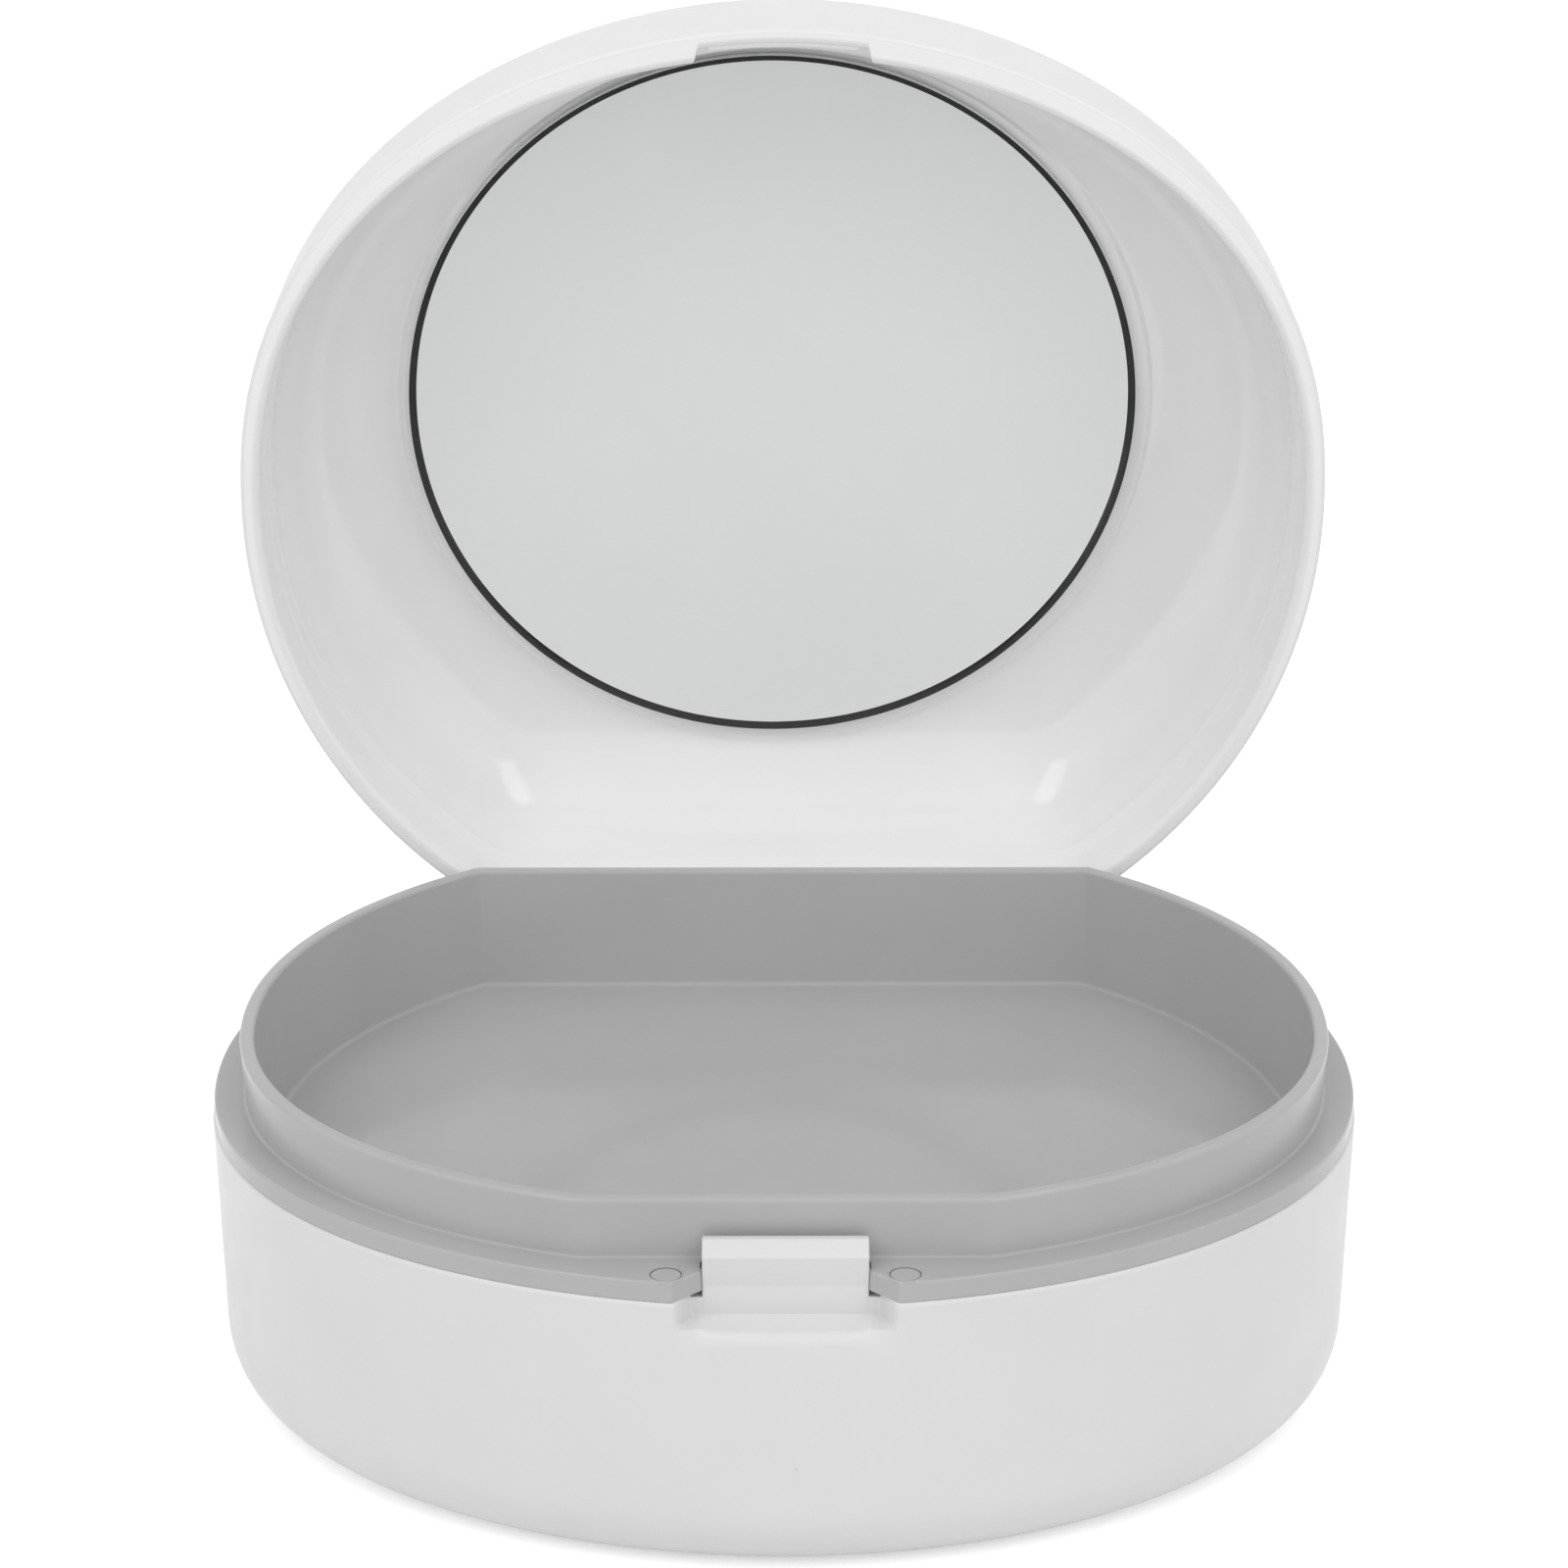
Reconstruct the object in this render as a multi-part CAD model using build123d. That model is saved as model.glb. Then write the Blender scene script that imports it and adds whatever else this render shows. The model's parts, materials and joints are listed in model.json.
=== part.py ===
from build123d import *
import os
from math import asin, cos, hypot, pi, sin

# Plan of the case: an oval with a flat hinge side. X is across, -Y is the front, and the
# origin is on the bottom face, on the line where the case is widest.
HALF_WIDTH = 46.0            # widest line to either side
FRONT_REACH = 42.5           # widest line to the front
BACK_FLAT = 38.8             # widest line to the flat hinge side
BACK_BULGE = 8.0             # the oval would reach this far past the flat
SIDE_POWER = 1.94            # powers of the oval, 2 being an ellipse
FRONT_POWER = 2.25
BACK_POWER = 2.02
SHELL_CORNER_DROP = 1.8      # the corners beside the flat start this far in front of it

# Base shell
SHELL_TOP = 22.7             # bottom face to the shell's top edge
SHELL_WALL = 1.8
SHELL_DRAFT = 0.5            # how much narrower the wall is at the foot
SHELL_FOOT_RADIUS = 5.8      # rounded edge between wall and bottom
SHELL_RIM_RELIEF = 0.15      # the tray's flange is this much smaller than the shell

# Inner tray
FLANGE_THICKNESS = 1.6
LIP_HEIGHT = 4.8             # above the flange
LIP_THICKNESS = 1.2
LIP_SIDE_INSET = 2.3         # flange width beside the lip
LIP_FRONT_INSET = 2.6        # oval of the lip behind the oval of the shell, at the front
LIP_BACK_INSET = 2.6
LIP_FRONT_FLAT_INSET = 5.0   # shell's front to the lip's flat front
LIP_BACK_FLAT_INSET = 4.3    # shell's flat back to the lip's flat back
TRAY_DEPTH = 10.4            # lip top to tray floor
TRAY_FLOOR = 1.5
TRAY_DRAFT = 0.8             # how much the tray's wall closes in over its depth
LIP_BACK_CORNER_DROP = 0.5   # rounding of the corners beside the lip's flats
LIP_FRONT_CORNER_DROP = 0.5
FLANGE_NOTCH_HALF = 6.45     # half width of the notch that the snap tab stands in
FLANGE_NOTCH_MOUTH = 2.4     # the notch's corners are cut off this far
NOTCH_BACK_WEB = 0.3         # flange left between the notch and the lip
EJECTOR_RADIUS = 1.25        # two round moulding marks on the flange
EJECTOR_DEPTH = 0.2
EJECTOR_X = 8.8
EJECTOR_SET_BACK = 2.25      # shell's front to the marks

# Snap tab, its scoop and the boss that it stands on
TAB_SET_BACK = 3.0           # shell's front to the tab's front face
TAB_THICKNESS = 1.5
TAB_HALF_WIDTH = 6.1
TAB_TOP = 26.5               # bottom face of the case to the tab's tip
TAB_BEAD_HEIGHT = 25.6       # level of the bead's foremost edge
TAB_BEAD = 0.6               # how far the bead stands in front of the tab's face
TAB_BEAD_FOOT = 1.6          # height over which the bead runs out below
TAB_TIP_SET_BACK = 0.7       # the tip leans back this far from the tab's face
TAB_ROOT_GAP = 0.1           # flexing slot between the tab and its boss
SCOOP_HALF_WIDTH = 8.3
SCOOP_DEPTH = 1.9            # below the shell's top edge
BOSS_DROP = 9.0              # height of the boss behind the scoop, which carries the tab
BOSS_SIDE = 1.5              # the boss reaches this far past the scoop on each side

# Lid
LID_GAP = 0.1                # closed lid rim above the flange
LID_HEIGHT = 19.4
LID_DRAFT = 0.3
LID_CROWN_RADIUS = 12.0      # rounded edge between the lid's wall and its top
LID_ROOF = 2.1
RIM_WALL = 1.6               # thickness of the lid's rim at the sides and back
RIM_FRONT_WALL = 2.4         # thickness of the lid's rim at the front
REBATE_DEPTH = 5.2           # the rim stays thin for this depth, so that the lip fits inside
REBATE_STEP = 0.9            # the wall is this much thicker past the rebate
POCKET_HALF_WIDTH = 7.3      # pocket in the front rim that takes the snap tab
POCKET_DEPTH = 1.15
POCKET_HEIGHT = 4.2
CATCH_HEIGHT = 0.7           # small ridge in the pocket that the bead passes under
CATCH_LEVEL = 0.35           # rim to the ridge
CATCH_CLEARANCE = 0.15       # bead to ridge
CATCH_ROOT = 0.4             # the ridge is sunk this far into the back of the pocket

# Mirror, seated in the lid
MIRROR_RADIUS = 31.9
MIRROR_THICKNESS = 1.1
MIRROR_BEVEL = 0.4
SEAT_MARGIN = 1.1            # the seat is this much larger in radius than the mirror
SEAT_RISE = 0.4              # the seat stands this far out of the lid's ceiling
SEAT_SET_BACK = 6.6          # lid's front to the seat's edge
SEAT_CUT = 6.0               # the seat clears the rounded crown this far below its face
MIRROR_SHIFT_X = -0.9        # the mirror is glued slightly off the seat's centre
MIRROR_SHIFT_Y = -0.4
PAD_INSET = 3.6              # the pad is this much smaller in radius than the mirror
PAD_THICKNESS = 0.25

# Hinge at the back: two lugs of the base in slots of the lid, each with a short pin
HINGE_SET_IN = 1.5           # flat back to the hinge axis
HINGE_RISE = 1.7             # flange top to the hinge axis
BARREL_RADIUS = 1.5
LUG_X = 12.0
LUG_WIDTH = 2.4
LUG_SIDE_GAP = 0.3
LUG_ROOT_DROP = 6.0          # the lugs run down inside the shell's wall
KNUCKLE_LENGTH = 2.2
PIN_RADIUS = 0.6
PIN_CLEARANCE = 0.05
SLOT_CLEARANCE = 0.35
OPEN_DEGREES = 81.0          # opening angle in the photographed pose

# Worked out from the sizes above
BACK_OVAL = BACK_FLAT + BACK_BULGE
LIP_FRONT_FLAT = FRONT_REACH - LIP_FRONT_FLAT_INSET
LIP_BACK_FLAT = BACK_FLAT - LIP_BACK_FLAT_INSET
TAB_FACE = FRONT_REACH - TAB_SET_BACK
EJECTOR_Y = EJECTOR_SET_BACK - FRONT_REACH
SEAT_RADIUS = MIRROR_RADIUS + SEAT_MARGIN
SEAT_CENTRE_Y = SEAT_SET_BACK + SEAT_RADIUS - FRONT_REACH
PAD_RADIUS = MIRROR_RADIUS - PAD_INSET
FLANGE_TOP = SHELL_TOP + FLANGE_THICKNESS
LIP_TOP = FLANGE_TOP + LIP_HEIGHT
FLOOR_TOP = LIP_TOP - TRAY_DEPTH
RIM_LEVEL = FLANGE_TOP + LID_GAP
LID_TOP = RIM_LEVEL + LID_HEIGHT
CEILING = LID_TOP - LID_ROOF
SEAT_FACE = CEILING - SEAT_RISE
HINGE_Y = BACK_FLAT - HINGE_SET_IN
HINGE_Z = FLANGE_TOP + HINGE_RISE
TAB_ROOT = SHELL_TOP + TAB_ROOT_GAP
SCOOP_FLOOR = SHELL_TOP - SCOOP_DEPTH
CUT_PAST = 1.0               # cuts run this far past the faces that they open
CURVE_POINTS = 15
ARC_STEPS = 6
TANGENT_STEP = 0.001         # angle in radians over which the oval's slope is read


def oval_point(side, front, back, angle):
    """Point of the oval: its X and Y reaches times powers of cosine and sine."""
    x = side * max(cos(angle), 0.0) ** (2 / SIDE_POWER)
    if angle < 0:
        return x, -front * (-sin(angle)) ** (2 / FRONT_POWER)
    return x, back * sin(angle) ** (2 / BACK_POWER)


def flat_corner(side, front, back, flat, drop, way):
    """Where the right half of the oval leaves for a flat at the back (way 1) or the front (-1).

    The corner curve leaves the oval at a level short of the flat by the drop, heads for the
    point where the oval's tangent meets the flat, and joins the flat as far beyond it.
    """
    reach, power = (back, BACK_POWER) if way > 0 else (front, FRONT_POWER)
    angle = way * asin(((flat - drop) / reach) ** (power / 2))
    x, y = oval_point(side, front, back, angle)
    near_x, near_y = oval_point(side, front, back, angle - way * TANGENT_STEP)
    aim_x = x + (near_x - x) / (near_y - y) * (way * flat - y)
    leg = hypot(aim_x - x, way * flat - y)
    return angle, (aim_x, way * flat), (aim_x - leg, way * flat)


def outline(side, front, back, back_flat, back_drop, level, front_flat=None, front_drop=0.0):
    """Face of the case's plan at one level, with a flat back and maybe a flat front."""
    start, back_aim, back_end = flat_corner(side, front, back, back_flat, back_drop, 1)
    end = -pi / 2
    if front_flat is not None:
        end, front_aim, front_end = flat_corner(side, front, back, front_flat, front_drop, -1)
    half = [oval_point(side, front, back, start + (end - start) * k / CURVE_POINTS)
            for k in range(CURVE_POINTS + 1)]

    def at(point, mirror=1):
        return (mirror * point[0], point[1], level)

    right = [at(point) for point in half]
    left = [at(point, -1) for point in reversed(half)]
    edges = [Bezier(at(back_end), at(back_aim), right[0])]
    if front_flat is None:
        edges.append(Spline(right + left[1:]))
    else:
        edges.append(Spline(right))
        edges.append(Bezier(right[-1], at(front_aim), at(front_end)))
        edges.append(Line(at(front_end), at(front_end, -1)))
        edges.append(Bezier(at(front_end, -1), at(front_aim, -1), left[0]))
        edges.append(Spline(left))
    edges.append(Bezier(left[-1], at(back_aim, -1), at(back_end, -1)))
    edges.append(Line(at(back_end, -1), at(back_end)))
    return make_face(edges)


def shell_outline(inset, level, front_extra=0.0):
    """The shell's plan, set in by the same amount all round, and by more at the front."""
    return outline(HALF_WIDTH - inset, FRONT_REACH - inset - front_extra, BACK_OVAL - inset,
                   BACK_FLAT - inset, SHELL_CORNER_DROP, level)


def lip_outline(inset, level):
    """The plan of the tray's lip, with flats at the front and back."""
    return outline(HALF_WIDTH - LIP_SIDE_INSET - inset, FRONT_REACH - LIP_FRONT_INSET - inset,
                   BACK_OVAL - LIP_BACK_INSET - inset, LIP_BACK_FLAT - inset, LIP_BACK_CORNER_DROP,
                   level, LIP_FRONT_FLAT - inset, LIP_FRONT_CORNER_DROP)


def rounded_edge(inset, level, radius, way, front_extra=0.0):
    """Solid of a quarter-round edge: way is -1 towards the bottom and 1 towards the top."""
    angles = [pi / 2 * k / ARC_STEPS for k in range(ARC_STEPS + 1)]
    rings = [shell_outline(inset + radius * (1 - cos(a)), level + way * radius * sin(a), front_extra)
             for a in angles]
    return loft(rings)


def block(x0, x1, y0, y1, z0, z1):
    """Box between two corners."""
    return Pos((x0 + x1) / 2, (y0 + y1) / 2, (z0 + z1) / 2) * Box(x1 - x0, y1 - y0, z1 - z0)


def rod(radius, x0, x1, y, z):
    """Cylinder along X."""
    return Pos((x0 + x1) / 2, y, z) * Rot(0, 90, 0) * Cylinder(radius, x1 - x0)


def shell_body(inset, bottom, top, draft, radius):
    """Drafted wall over a rounded foot, as one solid."""
    wall = loft([shell_outline(inset + draft, bottom + radius), shell_outline(inset, top)], ruled=True)
    foot = rounded_edge(inset + draft, bottom + radius, radius, -1)
    return wall + foot


def make_base_shell():
    """White outer shell of the base, with the scoop, the tab's boss and the hinge lugs."""
    outer = shell_body(0, 0, SHELL_TOP, SHELL_DRAFT, SHELL_FOOT_RADIUS)
    inner = shell_body(SHELL_WALL, SHELL_WALL, SHELL_TOP, SHELL_DRAFT, SHELL_FOOT_RADIUS - SHELL_WALL)
    boss_half = SCOOP_HALF_WIDTH + BOSS_SIDE
    boss = block(-boss_half, boss_half, -FRONT_REACH, -TAB_FACE + TAB_THICKNESS,
                 SHELL_TOP - BOSS_DROP, SHELL_TOP)
    shell = outer - inner + (boss & outer)
    shell -= block(-SCOOP_HALF_WIDTH, SCOOP_HALF_WIDTH, -FRONT_REACH - CUT_PAST, -TAB_FACE,
                   SCOOP_FLOOR, SHELL_TOP + CUT_PAST)
    bore_depth = LUG_WIDTH / 2
    for side in (-1, 1):
        x = side * LUG_X
        x0, x1 = x - bore_depth, x + bore_depth
        lug = rod(BARREL_RADIUS, x0, x1, HINGE_Y, HINGE_Z)
        lug += block(x0, x1, HINGE_Y - BARREL_RADIUS, HINGE_Y + BARREL_RADIUS,
                     SHELL_TOP - LUG_ROOT_DROP, HINGE_Z)
        lug -= rod(PIN_RADIUS, x0, x1, HINGE_Y, HINGE_Z)
        # the lug's root follows the drafted wall
        root_room = outer + block(x0, x1, 0, BACK_FLAT, SHELL_TOP, HINGE_Z + BARREL_RADIUS)
        shell += lug & root_room
    return shell


def make_inner_tray():
    """Grey tray: flange on the shell's top edge, raised lip and sunken floor."""
    flange = loft([shell_outline(SHELL_RIM_RELIEF, SHELL_TOP), shell_outline(SHELL_RIM_RELIEF, FLANGE_TOP)],
                  ruled=True)
    bottom = FLOOR_TOP - TRAY_FLOOR
    body = loft([lip_outline(TRAY_DRAFT, bottom), lip_outline(0, LIP_TOP)], ruled=True)
    pocket = loft([lip_outline(LIP_THICKNESS + TRAY_DRAFT, FLOOR_TOP),
                   lip_outline(LIP_THICKNESS, LIP_TOP)], ruled=True)
    notch_back = -LIP_FRONT_FLAT - NOTCH_BACK_WEB
    notch_front = -FRONT_REACH - CUT_PAST
    mouth_start = -FRONT_REACH + SHELL_RIM_RELIEF + FLANGE_NOTCH_MOUTH
    half, wide = FLANGE_NOTCH_HALF, FLANGE_NOTCH_HALF + FLANGE_NOTCH_MOUTH + CUT_PAST
    notch_plan = Polyline((half, notch_back), (half, mouth_start), (wide, notch_front),
                          (-wide, notch_front), (-half, mouth_start), (-half, notch_back), close=True)
    notch = Pos(0, 0, SHELL_TOP) * extrude(make_face(notch_plan), FLANGE_THICKNESS)
    tray = flange - notch
    for side in (-1, 1):
        lug_half = LUG_WIDTH / 2 + LUG_SIDE_GAP
        tray -= block(side * LUG_X - lug_half, side * LUG_X + lug_half,
                      HINGE_Y - BARREL_RADIUS - LUG_SIDE_GAP, BACK_FLAT + CUT_PAST, SHELL_TOP, FLANGE_TOP)
        mark = Cylinder(EJECTOR_RADIUS, EJECTOR_DEPTH, align=(Align.CENTER, Align.CENTER, Align.MAX))
        tray -= Pos(side * EJECTOR_X, EJECTOR_Y, FLANGE_TOP) * mark
    return tray + body - pocket


def make_snap_tab():
    """Tongue with a bead: profile in the YZ plane, extruded across."""
    face, back = -TAB_FACE, -TAB_FACE + TAB_THICKNESS
    tip = -TAB_FACE + TAB_TIP_SET_BACK
    profile = Polyline((0, face, TAB_ROOT), (0, face, TAB_BEAD_HEIGHT - TAB_BEAD_FOOT),
                       (0, face - TAB_BEAD, TAB_BEAD_HEIGHT), (0, tip, TAB_TOP),
                       (0, back, TAB_TOP), (0, back, TAB_ROOT), close=True)
    tab = extrude(make_face(profile), TAB_HALF_WIDTH, both=True, dir=(1, 0, 0))
    return tab


def lid_inner(inset, low, high):
    """Straight part of the lid's cavity between two levels."""
    front_extra = RIM_FRONT_WALL - RIM_WALL
    return loft([shell_outline(inset, low, front_extra), shell_outline(inset, high, front_extra)], ruled=True)


def make_lid_shell():
    """Bowl-shaped lid, modelled closed."""
    crown_start = LID_TOP - LID_CROWN_RADIUS
    outer = loft([shell_outline(0, RIM_LEVEL), shell_outline(LID_DRAFT, crown_start)], ruled=True)
    outer += rounded_edge(LID_DRAFT, crown_start, LID_CROWN_RADIUS, 1)
    front_extra = RIM_FRONT_WALL - RIM_WALL
    step_level = RIM_LEVEL + REBATE_DEPTH
    bowl_inset = RIM_WALL + REBATE_STEP
    bowl_radius = LID_CROWN_RADIUS - LID_ROOF
    rebate = lid_inner(RIM_WALL, RIM_LEVEL, step_level)
    bowl = lid_inner(bowl_inset, step_level, CEILING - bowl_radius)
    crown = rounded_edge(bowl_inset, CEILING - bowl_radius, bowl_radius, 1, front_extra)
    lid = outer - rebate - bowl - crown
    # round seat for the mirror: it stands out of the ceiling and cuts into the rounded crown
    downward = (Align.CENTER, Align.CENTER, Align.MAX)
    plateau = Cylinder(SEAT_RADIUS, SEAT_RISE, align=(Align.CENTER, Align.CENTER, Align.MIN))
    lid += Pos(0, SEAT_CENTRE_Y, SEAT_FACE) * plateau
    lid -= Pos(0, SEAT_CENTRE_Y, SEAT_FACE) * Cylinder(SEAT_RADIUS, SEAT_CUT, align=downward)
    # pocket for the snap tab, with its catch ridge
    inner_face = -FRONT_REACH + RIM_FRONT_WALL
    pocket_back = inner_face - POCKET_DEPTH
    lid -= block(-POCKET_HALF_WIDTH, POCKET_HALF_WIDTH, pocket_back, inner_face + CUT_PAST,
                 RIM_LEVEL, RIM_LEVEL + POCKET_HEIGHT)
    ridge_face = -TAB_FACE - TAB_BEAD - CATCH_CLEARANCE
    ridge_low = RIM_LEVEL + CATCH_LEVEL
    ridge = block(-TAB_HALF_WIDTH, TAB_HALF_WIDTH, pocket_back - CATCH_ROOT, ridge_face,
                  ridge_low, ridge_low + CATCH_HEIGHT)
    lid += ridge
    # rear edge rounded about the hinge axis, so that it turns clear of the flange
    corner = block(-HALF_WIDTH, HALF_WIDTH, HINGE_Y, BACK_FLAT + CUT_PAST, RIM_LEVEL - CUT_PAST, HINGE_Z)
    lid -= corner - rod(BARREL_RADIUS, -HALF_WIDTH, HALF_WIDTH, HINGE_Y, HINGE_Z)
    for side in (-1, 1):
        x = side * LUG_X
        slot_half = LUG_WIDTH / 2 + LUG_SIDE_GAP
        end = slot_half + KNUCKLE_LENGTH
        lid += rod(BARREL_RADIUS, x - end, x + end, HINGE_Y, HINGE_Z)
        lid -= block(x - slot_half, x + slot_half, HINGE_Y - BARREL_RADIUS - SLOT_CLEARANCE,
                     BACK_FLAT + CUT_PAST, RIM_LEVEL - CUT_PAST, HINGE_Z + BARREL_RADIUS + SLOT_CLEARANCE)
        lid -= rod(PIN_RADIUS + PIN_CLEARANCE, x - end, x + end, HINGE_Y, HINGE_Z)
    return lid


def make_mirror():
    """Round glass with a narrow bevelled edge, modelled in the closed lid."""
    face = SEAT_FACE - PAD_THICKNESS - MIRROR_THICKNESS
    disc = Cylinder(MIRROR_RADIUS, MIRROR_THICKNESS, align=(Align.CENTER, Align.CENTER, Align.MIN))
    disc = chamfer(disc.edges().filter_by(GeomType.CIRCLE).sort_by(Axis.Z)[0], MIRROR_BEVEL)
    return Pos(MIRROR_SHIFT_X, SEAT_CENTRE_Y + MIRROR_SHIFT_Y, face) * disc


def make_mirror_pad():
    """Thin adhesive disc behind the mirror."""
    pad = Cylinder(PAD_RADIUS, PAD_THICKNESS, align=(Align.CENTER, Align.CENTER, Align.MAX))
    return Pos(MIRROR_SHIFT_X, SEAT_CENTRE_Y + MIRROR_SHIFT_Y, SEAT_FACE) * pad


def make_hinge_pins():
    """Two short pins on the hinge axis, pressed in the lugs."""
    reach = LUG_WIDTH / 2 + LUG_SIDE_GAP + KNUCKLE_LENGTH
    return [rod(PIN_RADIUS, side * LUG_X - reach, side * LUG_X + reach, HINGE_Y, HINGE_Z)
            for side in (-1, 1)]


def opened(shape):
    """Turns a piece of the closed lid to the photographed pose."""
    return shape.rotate(Axis((0, HINGE_Y, HINGE_Z), (1, 0, 0)), -OPEN_DEGREES)


def save(name, solids):
    """Writes one node's solids to its own file."""
    shape = Compound(label=name, children=[s for s in solids])
    export_step(shape, os.path.join("parts", name + ".step"))


os.makedirs("parts", exist_ok=True)
save("base_shell", make_base_shell().solids())
save("inner_tray", make_inner_tray().solids())
save("snap_tab", make_snap_tab().solids())
save("lid_shell", opened(make_lid_shell()).solids())
save("mirror", opened(make_mirror()).solids())
save("mirror_pad", opened(make_mirror_pad()).solids())
save("hinge_pins", make_hinge_pins())
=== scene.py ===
"""Retainer case: finished surfaces of its shells, tray, tab and mirror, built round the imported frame.

All lengths are in metres in the row frame: X across the case, -Y to the front, Z up, origin on the table.
The lid's surfaces are worked out closed and then turned open about the hinge, as at rest.
"""

import json
import logging
import math
from dataclasses import dataclass, field
from enum import Enum
from typing import Callable

import bpy
import numpy as np
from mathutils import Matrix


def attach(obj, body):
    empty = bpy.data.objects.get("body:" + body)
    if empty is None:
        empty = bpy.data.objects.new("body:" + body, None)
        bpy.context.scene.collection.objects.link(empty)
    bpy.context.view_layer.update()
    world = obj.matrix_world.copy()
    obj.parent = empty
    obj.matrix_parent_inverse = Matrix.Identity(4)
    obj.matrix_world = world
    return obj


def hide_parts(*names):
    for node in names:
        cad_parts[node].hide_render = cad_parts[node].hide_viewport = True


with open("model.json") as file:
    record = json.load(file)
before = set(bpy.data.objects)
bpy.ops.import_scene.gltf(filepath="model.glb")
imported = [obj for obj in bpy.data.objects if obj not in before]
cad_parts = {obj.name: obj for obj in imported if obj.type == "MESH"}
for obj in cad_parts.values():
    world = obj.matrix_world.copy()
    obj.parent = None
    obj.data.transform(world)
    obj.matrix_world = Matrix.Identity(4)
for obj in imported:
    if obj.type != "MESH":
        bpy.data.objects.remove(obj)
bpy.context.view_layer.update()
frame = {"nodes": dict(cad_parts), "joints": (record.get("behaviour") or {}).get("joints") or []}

LOG = logging.getLogger("retainer_case")
MM = 0.001
TINY = 1e-9
NO_TURN = 1e-4
Array = np.ndarray


class Body(Enum):
    """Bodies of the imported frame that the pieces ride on."""

    BASE = "base"
    LID = "lid"
    TAB = "tab"


class End(Enum):
    """Ends of the case's plan."""

    FRONT = -1
    BACK = 1


@dataclass(frozen=True)
class Plan:
    """The case's outline at one level: an oval with a flat hinge side and, on the lip, a flat front.

    The oval's X is the half width times a power of the cosine, and its Y is the reach times a
    power of the sine, with one power at the front and another at the back.
    """

    side: float
    front: float
    back: float
    back_flat: float
    back_drop: float
    front_flat: float
    front_drop: float
    side_power: float = 1.94
    front_power: float = 2.25
    back_power: float = 2.02

    def oval(self, angle: Array) -> Array:
        """Points of the oval.

        Args:
            angle: parameter of the oval, from minus to plus a quarter turn on the right half.

        Returns:
            One row of X and Y per angle.
        """
        x = self.side * np.clip(np.cos(angle), 0, None) ** (2 / self.side_power)
        sine = np.abs(np.sin(angle))
        front = -self.front * sine ** (2 / self.front_power)
        back = self.back * sine ** (2 / self.back_power)
        return np.stack([x, np.where(angle < 0, front, back)], axis=-1)

    def corner(self, end: End) -> tuple[float, Array]:
        """Corner between the oval and a flat, as in the solids.

        A quadratic curve leaves the oval short of the flat by the drop, heads for the point where
        the oval's tangent meets the flat, and joins the flat as far beyond it.

        Args:
            end: the flat's end of the case.

        Returns:
            The oval's parameter where the corner leaves it, and the curve's points to the flat.
        """
        way = end.value
        at_back = end is End.BACK
        reach, power = (self.back, self.back_power) if at_back else (self.front, self.front_power)
        flat, drop = (self.back_flat, self.back_drop) if at_back else (self.front_flat, self.front_drop)
        angle = way * math.asin(min(1.0, (flat - drop) / reach) ** (power / 2))
        start, near = self.oval(np.array([angle, angle - way * 0.001]))
        aim_x = start[0] + (near[0] - start[0]) / (near[1] - start[1]) * (way * flat - start[1])
        leg = math.hypot(aim_x - start[0], way * flat - start[1])
        t = np.linspace(0, 1, 25)[:, None]
        aim, stop = np.array([aim_x, way * flat]), np.array([aim_x - leg, way * flat])
        return angle, (1 - t) ** 2 * start + 2 * t * (1 - t) * aim + t ** 2 * stop

    def half(self) -> Array:
        """Right half of the outline as close points, from the front's middle to the back's middle."""
        back_angle, back_curve = self.corner(End.BACK)
        pieces = []
        front_angle = -math.pi / 2
        if self.front_flat < self.front:
            front_angle, front_curve = self.corner(End.FRONT)
            pieces += [np.linspace([0.0, -self.front_flat], front_curve[-1], 80)[:-1], front_curve[::-1]]
        pieces += [self.oval(np.linspace(front_angle, back_angle, 700)), back_curve]
        pieces.append(np.linspace(back_curve[-1], [0.0, self.back_flat], 80)[1:])
        return np.vstack(pieces)

    def at(self, headings: Array) -> Array:
        """Points of the outline seen from the origin.

        Args:
            headings: angles from the front's middle, positive to the right, from minus to plus pi.

        Returns:
            One row of X and Y per heading, on the outline in that direction.
        """
        half = self.half()
        bearing = np.maximum.accumulate(np.arctan2(half[:, 0], -half[:, 1]))
        reach = np.interp(np.abs(headings), bearing, np.hypot(half[:, 0], half[:, 1]))
        return np.stack([reach * np.sin(headings), -reach * np.cos(headings)], axis=-1)


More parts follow.
